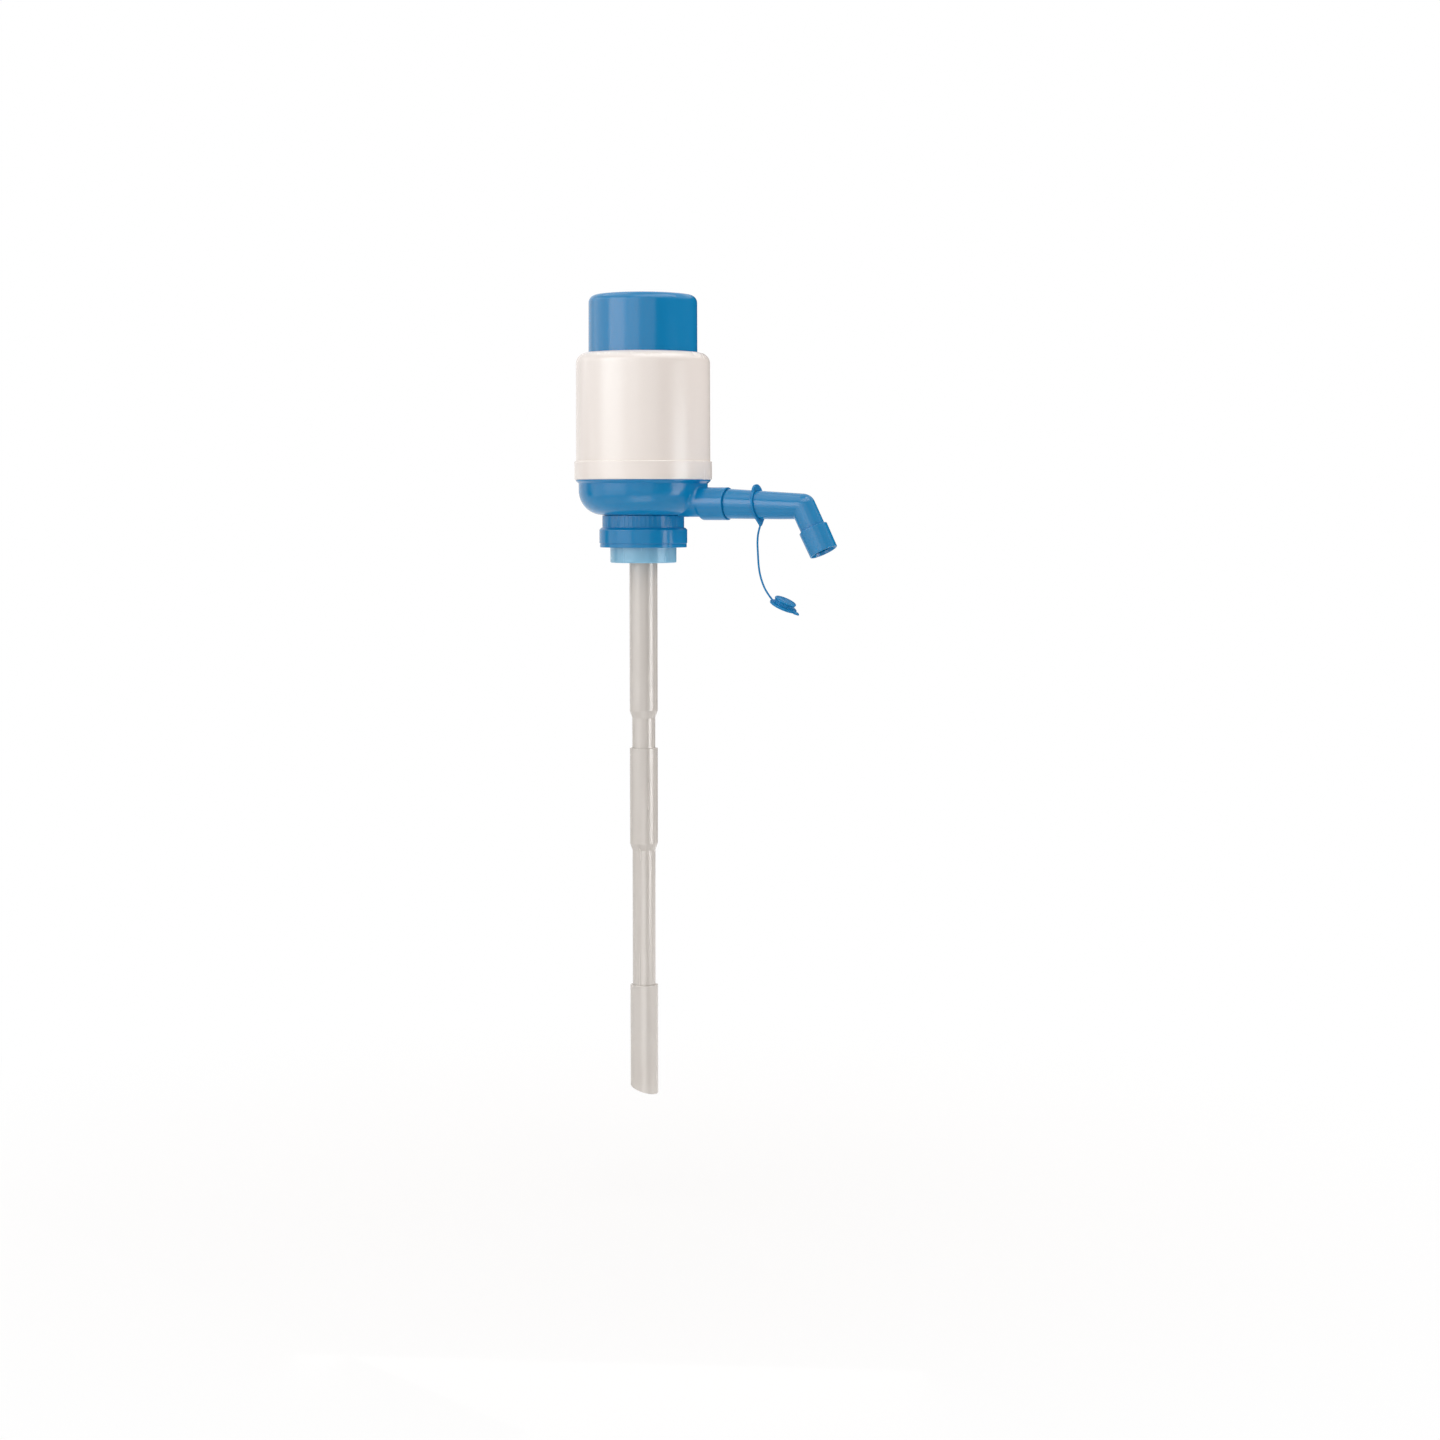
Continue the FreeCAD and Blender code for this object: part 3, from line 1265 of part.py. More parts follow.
def build():
    """Build every piece of the pump."""
    build_neck_plug()
    build_neck_gasket()
    build_neck_nut()
    build_base_bowl()
    build_housing_shell()
    build_plate_seal()
    build_valve_plate()
    build_umbrella_valve("delivery_valve", "plate_bottom", "plate_top")
    build_bellows()
    build_bellows_hoops()
    build_bellows_top_seat()
    build_umbrella_valve("intake_valve", "seat_bottom", "seat_top")
    build_return_spring()
    build_plunger_cap()
    build_water_elbow()
    build_o_ring("elbow_seal", "elbow_seal_circle", "o_ring_radius", "elbow_seal_place")
    build_spout()
    build_o_ring("spout_seal", "spout_seal_circle", "spout_seal_radius", "spout_seal_place")
    build_spout_sleeve()
    build_tether_ring()
    build_tether_strand()
    build_dust_cap()
    build_dip_tube("dip_tube_upper", "upper_top", "upper_shoulder", "middle_top")
    build_dip_tube("dip_tube_middle", "middle_top", "middle_shoulder", "foot_top")
    build_dip_tube_foot()
    document.recompute()


def check():
    """Stop unless every object is up to date and every piece is one valid solid."""
    for item in document.Objects:
        if "Invalid" in item.State or "Error" in item.State:
            raise RuntimeError(f"{item.Label} failed: {item.State}")
    for label, item in pieces.items():
        shape = item.Shape
        if shape.isNull() or not shape.isValid():
            raise RuntimeError(f"{label} has no valid shape")
        if len(shape.Solids) != 1:
            raise RuntimeError(f"{label} has {len(shape.Solids)} solids")


def write():
    """Write each piece to its own STEP file."""
    os.makedirs("parts", exist_ok=True)
    for label, item in pieces.items():
        item.Shape.exportStep(os.path.join("parts", f"{label}.step"))


build()
check()
write()
for label, item in pieces.items():
    box = item.Shape.BoundBox
    print(f"{label:20s} volume {item.Shape.Volume:10.1f}  z {box.ZMin:8.2f} to {box.ZMax:8.2f}")
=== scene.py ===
"""Looks of a hand pump for water jugs.

The nut clamps the pump on the jug's neck. Each press of the blue plunger blows air into the
jug, and the water rises through the dip tube and leaves by the spout. Sizes are millimetres in
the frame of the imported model: the jug's rim is at z = 0, the spout points along +X and the dip
tube hangs along -Z. Meshes are written in metres.
"""
import logging
from abc import ABC, abstractmethod
from dataclasses import dataclass
from enum import Enum
from functools import cache
from typing import Callable, Sequence

import bpy
import numpy as np
from mathutils import Matrix, Vector


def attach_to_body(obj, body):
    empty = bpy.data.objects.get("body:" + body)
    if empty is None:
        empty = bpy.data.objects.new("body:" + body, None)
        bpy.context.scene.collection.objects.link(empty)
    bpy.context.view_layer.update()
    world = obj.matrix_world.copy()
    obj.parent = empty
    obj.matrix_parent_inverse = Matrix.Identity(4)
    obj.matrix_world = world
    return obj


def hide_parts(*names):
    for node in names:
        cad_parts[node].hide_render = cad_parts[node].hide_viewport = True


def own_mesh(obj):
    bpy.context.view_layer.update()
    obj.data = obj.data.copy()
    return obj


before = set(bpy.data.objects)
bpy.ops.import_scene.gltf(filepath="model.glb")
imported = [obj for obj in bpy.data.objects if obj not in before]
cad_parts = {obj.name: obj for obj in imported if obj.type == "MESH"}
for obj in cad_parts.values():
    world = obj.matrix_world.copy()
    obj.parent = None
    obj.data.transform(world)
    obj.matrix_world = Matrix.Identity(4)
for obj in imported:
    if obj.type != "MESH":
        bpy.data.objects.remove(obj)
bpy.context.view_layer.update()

LOG = logging.getLogger("hand_pump")
MM = 0.001

# Outlines: the rounding of a plain edge in mm, the gap in mm between an arc and the point that
# keeps the flat beside it flat, that gap's greatest share of the flat, and the greatest share of
# a side that its two arcs take.
SOFT_EDGE = 0.2
GUARD = 0.12
GUARD_SHARE = 0.3
ARC_SHARE = 0.96

# The height of the spout's line at the socket, and the model's own directions.
SPOUT_LEVEL = 14.9
UP = np.array([0.0, 0.0, 1.0])
SIDEWAYS = np.array([0.0, 1.0, 0.0])

Shape = Callable[[np.ndarray, np.ndarray, np.ndarray], tuple[np.ndarray, np.ndarray]]
Colour = tuple[int, int, int]


class Body(Enum):
    """The bodies that pieces move with."""

    BASE = "base"
    PLUNGER = "plunger"
    NUT = "nut"
    SPOUT = "spout"
    TETHER = "tether"


class Slot(Enum):
    """The material slots that pieces take their finish from."""

    BLUE = "blue_plastic"
    WHITE = "white_plastic"
    PALE_BLUE = "pale_blue_plastic"
    SOFT_BLUE = "blue_soft_plastic"
    TUBE = "natural_tube"
    RUBBER = "bellows_rubber"
    WHITE_SEAL = "white_seal"
    BLACK_SEAL = "black_seal"
    SILICONE = "clear_silicone"
    STEEL = "spring_steel"


# Surfaces


@dataclass(frozen=True)
class Axis:
    """A line that shapes are turned about.

    Attributes:
        start: The point of the line at local height 0, in mm.
        lean: Degrees by which the line is turned about +Y, from +Z towards +X.
    """

    start: tuple[float, float, float] = (0.0, 0.0, 0.0)
    lean: float = 0.0

    def ways(self) -> tuple[np.ndarray, np.ndarray]:
        """Return the unit vectors of the axis' own X and Z in the model's frame."""
        turn = np.radians(self.lean)
        return (np.array([np.cos(turn), 0.0, -np.sin(turn)]),
                np.array([np.sin(turn), 0.0, np.cos(turn)]))

    def place(self, across: np.ndarray, side: np.ndarray, along: np.ndarray) -> np.ndarray:
        """Move local points to the model: start + across * X + side * Y + along * Z.

        Args:
            across: Local X of each point.
            side: Local Y of each point.
            along: Local Z of each point.

        Returns:
            The points, with their three coordinates on the last array axis.
        """
        x_way, z_way = self.ways()
        across, side, along = np.broadcast_arrays(across, side, along)
        return (np.array(self.start) + across[..., None] * x_way + side[..., None] * SIDEWAYS
                + along[..., None] * z_way)


UPRIGHT = Axis()


@dataclass(frozen=True)
class Outline:
    """A section line in radius and height.

    Attributes:
        radius: Distance of each point from the axis.
        height: Height of each point along the axis.
        edge: 1 in the middle of an outward rounding, falling to 0 on the flats.
        loop: Whether the last point joins the first one.
    """

    radius: np.ndarray
    height: np.ndarray
    edge: np.ndarray
    loop: bool

    def after(self, radius: np.ndarray, height: np.ndarray) -> "Outline":
        """Return this open outline with more points put in front of it."""
        return Outline(np.concatenate([radius, self.radius]),
                       np.concatenate([height, self.height]),
                       np.concatenate([0 * radius, self.edge]), self.loop)


@dataclass(frozen=True)
class Skin:
    """A closed surface on a grid of points.

    Attributes:
        points: Grid of points, rows by columns by three. The columns close on themselves.
        edge: Wear mask of each point.
        loop: Whether the last row joins the first one.
    """

    points: np.ndarray
    edge: np.ndarray
    loop: bool

    def faces(self) -> tuple[np.ndarray, np.ndarray]:
        """Join neighbouring points by faces that point outwards.

        A row whose points all coincide is a pole, and its faces are triangles. The sign of the
        enclosed volume, the sum of p0 . (p1 x p2) over the faces, tells which way they point.

        Returns:
            The four-cornered faces and the triangles, as point numbers of the grid.
        """
        rows, columns = self.points.shape[:2]
        number = np.arange(rows * columns).reshape(rows, columns)
        pole = np.ptp(self.points, axis=1).max(axis=1) < 1e-7
        number[pole] = number[pole, :1]
        near = number if self.loop else number[:-1]
        far = np.roll(number, -1, axis=0) if self.loop else number[1:]
        quads = np.stack([near, np.roll(near, -1, axis=1), np.roll(far, -1, axis=1), far],
                         axis=-1).reshape(-1, 4)
        corners = self.points.reshape(-1, 3)[quads]
        halves = (corners[:, [0, 1, 2]], corners[:, [0, 2, 3]])
        volume = sum(np.einsum("ij,ij->", half[:, 0], np.cross(half[:, 1], half[:, 2]))
                     for half in halves)
        if volume < 0:
            quads = quads[:, ::-1]
        starts = quads[:, 0] == quads[:, 1]
        ends = quads[:, 2] == quads[:, 3]
        triangles = np.concatenate([quads[starts][:, [0, 2, 3]], quads[ends][:, [0, 1, 2]]])
        return quads[~starts & ~ends], triangles


def unit(ways: np.ndarray) -> np.ndarray:
    """Return each vector divided by its own length."""
    return ways / np.maximum(np.linalg.norm(ways, axis=-1, keepdims=True), 1e-12)


def all_round(count: int) -> np.ndarray:
    """Return evenly spaced angles of a full turn, from 0."""
    return np.linspace(0, 2 * np.pi, count, endpoint=False)


def ways_at(angle: float) -> tuple[np.ndarray, np.ndarray]:
    """Return the level unit vectors that point outwards and to the left at an angle."""
    return (np.array([np.cos(angle), np.sin(angle), 0.0]),
            np.array([-np.sin(angle), np.cos(angle), 0.0]))


def smooth_step(share: np.ndarray) -> np.ndarray:
    """Return s^2 * (3 - 2 s) for each share s, held between 0 and 1."""
    share = np.clip(share, 0, 1)
    return share**2 * (3 - 2 * share)


def bowed(first: np.ndarray, middle: np.ndarray, last: np.ndarray,
          share: np.ndarray) -> np.ndarray:
    """Return the curve of the second degree from first to last that leans towards middle."""
    return (1 - share)**2 * first + 2 * share * (1 - share) * middle + share**2 * last


def square_reach(angle: np.ndarray, power: float) -> np.ndarray:
    """Return a rounded square's reach, (|cos t|^p + |sin t|^p)^(-1/p), at each angle t."""
    return (np.abs(np.cos(angle))**power + np.abs(np.sin(angle))**power)**(-1 / power)


def rounded(corners: Sequence[tuple[float, ...]], loop: bool = True, steps: int = 5) -> Outline:
    """Round every corner of an outline by an arc that touches both of its sides.

    The arc's middle lies on the corner's bisector, radius / sin(half angle) away, and its
    points swing evenly from one touching point to the other. Arcs that would meet on a short
    side are made smaller. A guard point on each side keeps the flats flat in smooth shading.

    Args:
        corners: Radius and height of each corner, and its rounding where it isn't SOFT_EDGE.
        loop: Whether the last corner joins the first one.
        steps: Number of chords in each arc.

    Returns:
        The outline with arcs for corners.
    """
    data = np.array([(*corner, SOFT_EDGE)[:3] for corner in corners])
    here, rounding = data[:, :2], data[:, 2].copy()
    if not loop:
        rounding[[0, -1]] = 0.0
    before, after = np.roll(here, 1, axis=0) - here, np.roll(here, -1, axis=0) - here
    back, ahead = unit(before), unit(after)
    half = 0.5 * np.arccos(np.clip((back * ahead).sum(axis=1), -0.999999, 0.999999))
    reach = np.linalg.norm(before, axis=1), np.linalg.norm(after, axis=1)
    run = rounding / np.tan(half)
    crowd = np.maximum((run + np.roll(run, 1)) / reach[0], (run + np.roll(run, -1)) / reach[1])
    run = run * np.minimum(1.0, ARC_SHARE / np.maximum(crowd, 1e-9))
    arc = run * np.tan(half)
    middle = here + unit(back + ahead) * (arc / np.sin(half))[:, None]
    first = here + back * run[:, None] - middle
    last = here + ahead * run[:, None] - middle
    turn = (np.pi - 2 * half)[:, None]
    share = np.linspace(0.0, 1.0, steps + 1)[None, :]
    fade, grow = (np.sin(part * turn) / np.sin(turn) for part in (1 - share, share))
    swing = middle[:, None] + first[:, None] * fade[..., None] + last[:, None] * grow[..., None]
    free = reach[0] - run - np.roll(run, 1), reach[1] - run - np.roll(run, -1)
    guards = [here + way * (run + np.minimum(GUARD, GUARD_SHARE * room))[:, None]
              for way, room in zip((back, ahead), free)]
    points = np.concatenate([guards[0][:, None], swing, guards[1][:, None]], axis=1)
    x, y = here.T
    area = (x * np.roll(y, -1) - np.roll(x, -1) * y).sum()
    outward = (back[:, 1] * ahead[:, 0] - back[:, 0] * ahead[:, 1]) * area > 0
    crest = np.concatenate([[0.0], np.sin(np.pi * share[0]), [0.0]])
    edge = (outward * np.clip(turn[:, 0], 0, 1))[:, None] * crest[None, :]
    if not loop:
        points = np.concatenate([here[:1], points[1:-1].reshape(-1, 2), here[-1:]])
        edge = np.concatenate([[0.0], edge[1:-1].ravel(), [0.0]])
    points = points.reshape(-1, 2)
    return Outline(points[:, 0], points[:, 1], edge.ravel(), loop)


def turned(outline: Outline, axis: Axis = UPRIGHT, sectors: int = 192,
           shape: Shape | None = None) -> Skin:
    """Carry an outline round an axis: (r cos t, r sin t, z) for angle t and outline (r, z).

    Args:
        outline: The section line.
        axis: The line that it is turned about.
        sectors: Number of points round the axis.
        shape: Takes angle, radius and height, and gives the radius and height to use.

    Returns:
        The turned surface.
    """
    angle = all_round(sectors)[None, :]
    radius, height = outline.radius[:, None], outline.height[:, None]
    if shape is not None:
        radius, height = shape(angle, radius, height)
    radius = radius + 0 * angle
    points = axis.place(radius * np.cos(angle), radius * np.sin(angle), height + 0 * angle)
    return Skin(points, outline.edge[:, None] + 0 * angle, outline.loop)


def swept(path: np.ndarray, side: np.ndarray, rise: np.ndarray, across: np.ndarray,
          along: np.ndarray, scale: np.ndarray) -> Skin:
    """Carry a closed section along a path: path + scale * (across * side + along * rise).

    Args:
        path: Points that the section follows.
        side: Unit vector of the section's first direction at each path point.
        rise: Unit vector of its second direction at each path point.
        across: First coordinate of each section point.
        along: Second coordinate of each section point.
        scale: Size of the section at each path point. 0 closes an end.

    Returns:
        The swept surface.
    """
    flat = across[None, :, None] * side[:, None] + along[None, :, None] * rise[:, None]
    points = path[:, None] + scale[:, None, None] * flat
    return Skin(points, np.zeros(points.shape[:2]), False)


def slab(plan: np.ndarray, bottom: float, top: float, rounding: float, axis: Axis) -> Skin:
    """Thicken a star-shaped plan: each row is the plan drawn in by its rounding, at its height.

    Args:
        plan: Closed line of points in the axis' own X and Y.
        bottom: Lowest height along the axis.
        top: Greatest height along the axis.
        rounding: Radius of the two rims.
        axis: Where the plan stands.

    Returns:
        The closed surface, with a pole in the middle of each side.
    """
    turn = np.linspace(0, np.pi / 2, 5)
    inset = rounding * np.concatenate([1 - np.sin(turn), 1 - np.cos(turn)])
    height = np.concatenate([bottom + rounding * (1 - np.cos(turn)),
                             top - rounding * (1 - np.sin(turn))])
    centre = plan.mean(axis=0)
    reach = np.linalg.norm(plan - centre, axis=1)
    share = 1 - inset[:, None] / reach[None, :]
    share = np.concatenate([np.zeros((1, len(plan))), share, np.zeros((1, len(plan)))])
    height = np.concatenate([[bottom], height, [top]])
    flat = centre + share[..., None] * (plan - centre)
    points = axis.place(flat[..., 0], flat[..., 1], height[:, None])
    return Skin(points, (share > 0.5) * 0.5, False)


def write_mesh(name: str, skins: Sequence[Skin]) -> bpy.types.Object:
    """Put surfaces into one mesh in metres, with their wear mask as the attribute "edge".

    Args:
        name: Name of the object and its mesh.
        skins: The surfaces.

    Returns:
        The new object, at the origin.
    """
    quads, triangles, shift = [], [], 0
    for skin in skins:
        four, three = skin.faces()
        quads.append(four + shift)
        triangles.append(three + shift)
        shift += skin.points.shape[0] * skin.points.shape[1]
    quads, triangles = np.concatenate(quads), np.concatenate(triangles)
    points = np.concatenate([skin.points.reshape(-1, 3) for skin in skins])
    edge = np.concatenate([skin.edge.ravel() for skin in skins])
    used = np.unique(np.concatenate([quads.ravel(), triangles.ravel()]))
    renumber = np.zeros(len(points), int)
    renumber[used] = np.arange(len(used))
    mesh = bpy.data.meshes.new(name)
    mesh.from_pydata((points[used] * MM).tolist(), [],
                     renumber[quads].tolist() + renumber[triangles].tolist())
    mask = mesh.attributes.new("edge", "FLOAT", "POINT")
    mask.data.foreach_set("value", edge[used].astype(np.float32))
    mesh.polygons.foreach_set("use_smooth", np.ones(len(mesh.polygons), bool))
    mesh.update()
    return put(mesh)


def put(data: bpy.types.ID) -> bpy.types.Object:
    """Put a mesh, curve, lamp or camera into the scene under its own name and return it."""
    thing = bpy.data.objects.new(data.name, data)
    bpy.context.scene.collection.objects.link(thing)
    return thing


def facing(spot: np.ndarray, aim: np.ndarray) -> Matrix:
    """Return the place of a thing at a spot whose -Z points at its aim."""
    look = Vector(aim - spot).to_track_quat("-Z", "Y")
    return Matrix.Translation(Vector(spot)) @ look.to_matrix().to_4x4()


# Finishes


def linear(colour: Colour) -> tuple[float, float, float, float]:
    """Turn a colour into the linear values that shaders take.

    Args:
        colour: The colour as it is written, 0 to 255.

    Returns:
        Red, green, blue and 1.
    """
    value = np.array(colour) / 255
    value = np.where(value <= 0.04045, value / 12.92, ((value + 0.055) / 1.055) ** 2.4)
    return (*value.tolist(), 1.0)


class Web:
    """A node tree with short ways to add and join nodes."""

    def __init__(self, tree: bpy.types.NodeTree) -> None:
        """Empty the tree and keep it."""
        self.tree = tree
        tree.nodes.clear()

    def add(self, kind: str, settings: dict | None = None, **inputs) -> bpy.types.Node:
        """Add a node.

        Args:
            kind: The node's type name, without its ShaderNode prefix.
            settings: Properties of the node itself.
            inputs: Values or sockets for its inputs. An underscore stands for a space, and
                a name such as slot_1 stands for the input of that number.

        Returns:
            The node.
        """
        node = self.tree.nodes.new(kind if kind.startswith("Node") else "ShaderNode" + kind)
        for key, value in (settings or {}).items():
            setattr(node, key, value)
        for key, value in inputs.items():
            numbered = key.startswith("slot_")
            socket = node.inputs[int(key[5:]) if numbered else key.replace("_", " ")]
            if isinstance(value, bpy.types.NodeSocket):
                self.tree.links.new(value, socket)
            else:
                socket.default_value = value
        return node

    def maths(self, operation: str, *values: object) -> bpy.types.NodeSocket:
        """Add a Math node on two or three values and return its result."""
        slots = {f"slot_{number}": value for number, value in enumerate(values)}
        return self.add("Math", {"operation": operation}, **slots).outputs[0]

    def noise(self, place: bpy.types.NodeSocket, scale: object, detail: float,
              **inputs) -> bpy.types.NodeSocket:
        """Add a Noise Texture at a place and return its pattern."""
        node = self.add("TexNoise", Vector=place, Scale=scale, Detail=detail, **inputs)
        return node.outputs[0]

    def mapped(self, place: bpy.types.NodeSocket, **inputs) -> bpy.types.NodeSocket:
        """Add a Mapping that turns or stretches a place and return the new one."""
        return self.add("Mapping", Vector=place, **inputs).outputs[0]

    def blend(self, share: object, first: object, second: object) -> bpy.types.NodeSocket:
        """Add a colour mix from first to second by share, and return its colour."""
        node = self.add("Mix", {"data_type": "RGBA"}, slot_0=share, slot_6=first, slot_7=second)
        return node.outputs[2]

    def stretch(self, value: object, low: float, high: float, to_low: float = 0.0,
                to_high: float = 1.0) -> bpy.types.NodeSocket:
        """Add a Map Range from low..high to to_low..to_high and return its result."""
        node = self.add("MapRange", Value=value, From_Min=low, From_Max=high,
                        To_Min=to_low, To_Max=to_high)
        return node.outputs[0]


def seen_rays(web: Web) -> bpy.types.NodeSocket:
    """Add a mask that is 1 for rays of the camera, of reflections and of clear materials."""
    kinds = web.add("LightPath").outputs
    plain = web.maths("MAXIMUM", kinds["Is Camera Ray"], kinds["Is Glossy Ray"])
    return web.maths("MAXIMUM", plain, kinds["Is Transmission Ray"])


def new_material(name: str) -> tuple[bpy.types.Material, Web]:
    """Start an empty material and return it with its web."""
    made = bpy.data.materials.new(name)
    made.use_nodes = True
    return made, Web(made.node_tree)


def new_group(name: str, inputs: Sequence[str],
              outputs: Sequence[str]) -> tuple[bpy.types.NodeTree, Web, bpy.types.Node]:
    """Start a shader node group whose sockets are all single numbers.

    Args:
        name: Name of the group.
        inputs: Names of its inputs.
        outputs: Names of its outputs.

    Returns:
        The group, its web and its input node.
    """
    group = bpy.data.node_groups.new(name, "ShaderNodeTree")
    for way, labels in (("INPUT", inputs), ("OUTPUT", outputs)):
        for label in labels:
            group.interface.new_socket(label, in_out=way, socket_type="NodeSocketFloat")
    web = Web(group)
    return group, web, web.add("NodeGroupInput")


@cache
def moulding_group() -> bpy.types.NodeTree:
    """Build the group for a moulded skin: fine texture of the tool, and faint flow of the melt.

    Returns:
        The group. Height is the texture, Tone the flow from 0 to 1, both over the surface.
    """
    group, web, given = new_group("moulded_skin", ("Texture Scale", "Flow Scale"),
                                  ("Height", "Tone"))
    place = web.add("TexCoord").outputs["Object"]
    peel = web.noise(place, given.outputs["Texture Scale"], 2.0, Roughness=0.55)
    flow = web.noise(web.mapped(place, Scale=(1.0, 1.0, 0.35)), given.outputs["Flow Scale"],
                     4.0, Distortion=0.6)
    web.add("NodeGroupOutput", Height=peel, Tone=web.stretch(flow, 0.3, 0.7))
    return group


@cache
def handling_group() -> bpy.types.NodeTree:
    """Build the group for marks of use: hairline scratches, wipe marks and dust.

    Returns:
        The group. Marks and Dust are masks from 0 to 1 over the surface.
    """
    group, web, given = new_group("handling_marks", ("Amount", "Dust"), ("Marks", "Dust"))
    place = web.add("TexCoord").outputs["Object"]
    marks = web.stretch(web.noise(place, 38.0, 3.0), 0.45, 0.75, 0.0, 0.5)
    for tilt, scale in ((0.5, 260.0), (-0.9, 330.0)):
        long_way = web.mapped(place, Rotation=(tilt, 0.4, tilt), Scale=(1.0, 1.0, 0.05))
        hair = web.stretch(web.noise(long_way, scale, 1.0), 0.66, 0.78)
        marks = web.maths("MAXIMUM", marks, hair)
    specks = web.stretch(web.noise(place, 2200.0, 1.0), 0.62, 0.8)
    up = web.add("SeparateXYZ", Vector=web.add("NewGeometry").outputs["Normal"])
    settled = web.maths("MULTIPLY", web.stretch(up.outputs[2], 0.2, 1.0, 0.1, 1.0), specks)
    web.add("NodeGroupOutput", Marks=web.maths("MULTIPLY", marks, given.outputs["Amount"]),
            Dust=web.maths("MULTIPLY", settled, given.outputs["Dust"]))
    return group


@cache
def wear_group() -> bpy.types.NodeTree:
    """Build the group for rubbed edges, from the mesh's own edge mask broken up by noise.

    Returns:
        The group. Wear is a mask from 0 to 1 over the surface.
    """
    group, web, given = new_group("edge_wear", ("Amount",), ("Wear",))
    edge = web.add("Attribute", {"attribute_name": "edge"}).outputs["Fac"]
    place = web.add("TexCoord").outputs["Object"]
    broken = web.stretch(web.noise(place, 120.0, 3.0), 0.35, 0.65, 0.25, 1.0)
    rubbed = web.maths("MULTIPLY", edge, broken)
    web.add("NodeGroupOutput", Wear=web.maths("MULTIPLY", rubbed, given.outputs["Amount"]))
    return group


# Cells of the melt's flow per metre, and the colours of dust and of the two tinted glosses.
FLOW_CELLS = 45.0
DUST_COLOUR = (214, 208, 202)
PEACH_GLOSS = (255, 214, 178)
COOL_GLOSS = (222, 245, 255)


@dataclass(frozen=True)
class Finish:
    """A moulded or formed material.

    Attributes:
        name: Name of the material.
        colour: Colour of a clean flat, as it is written.
        pale: Colour of rubbed edges and of the lighter flow.
        roughness: Roughness of a clean flat.
        texture: Height of the skin's texture, in mm.
        texture_scale: Texture cells per metre.
        flow: Share of the pale colour in the lighter flow.
        specular: The shader's specular level.
        gloss: Colour of the skin's reflections.
        clear: Share of light that passes through.
        metallic: 1 for bare metal.
        wear: Strength of rubbed edges.
        marks: Strength of handling marks.
        dust: Strength of settled dust.
    """

    name: str
    colour: Colour
    pale: Colour
    roughness: float
    texture: float = 0.003
    texture_scale: float = 1500.0
    flow: float = 0.12
    specular: float = 0.5
    gloss: Colour = (255, 255, 255)
    clear: float = 0.0
    metallic: float = 0.0
    wear: float = 0.5
    marks: float = 0.5
    dust: float = 0.25

    @cache
    def material(self) -> bpy.types.Material:
        """Build the material once: flow and wear lighten it, marks and dust dull it.

        Returns:
            The material.
        """
        made, web = new_material(self.name)
        made.diffuse_color = linear(self.colour)
        skin = web.add("Group", {"node_tree": moulding_group()},
                       Texture_Scale=self.texture_scale, Flow_Scale=FLOW_CELLS)
        handled = web.add("Group", {"node_tree": handling_group()},
                          Amount=self.marks, Dust=self.dust)
        marks, dust = handled.outputs["Marks"], handled.outputs["Dust"]
        wear = web.add("Group", {"node_tree": wear_group()}, Amount=self.wear).outputs["Wear"]
        flowing = web.maths("MULTIPLY", skin.outputs["Tone"], self.flow)
        colour = web.blend(web.maths("MAXIMUM", flowing, wear), linear(self.colour),
                           linear(self.pale))
        colour = web.blend(dust, colour, linear(DUST_COLOUR))
        rough = self.roughness
        for effect, dulling in ((marks, 0.14), (dust, 0.2), (wear, 0.08)):
            rough = web.maths("MULTIPLY_ADD", effect, dulling, rough)
        bump = web.add("Bump", Height=skin.outputs["Height"], Distance=self.texture * MM,
                       Strength=1.0)
        shader = web.add("BsdfPrincipled", Base_Color=colour, Roughness=rough,
                         Normal=bump.outputs[0], Specular_IOR_Level=self.specular,
                         Specular_Tint=linear(self.gloss), Transmission_Weight=self.clear,
                         Metallic=self.metallic)
        web.add("OutputMaterial", Surface=shader.outputs[0])
        return made


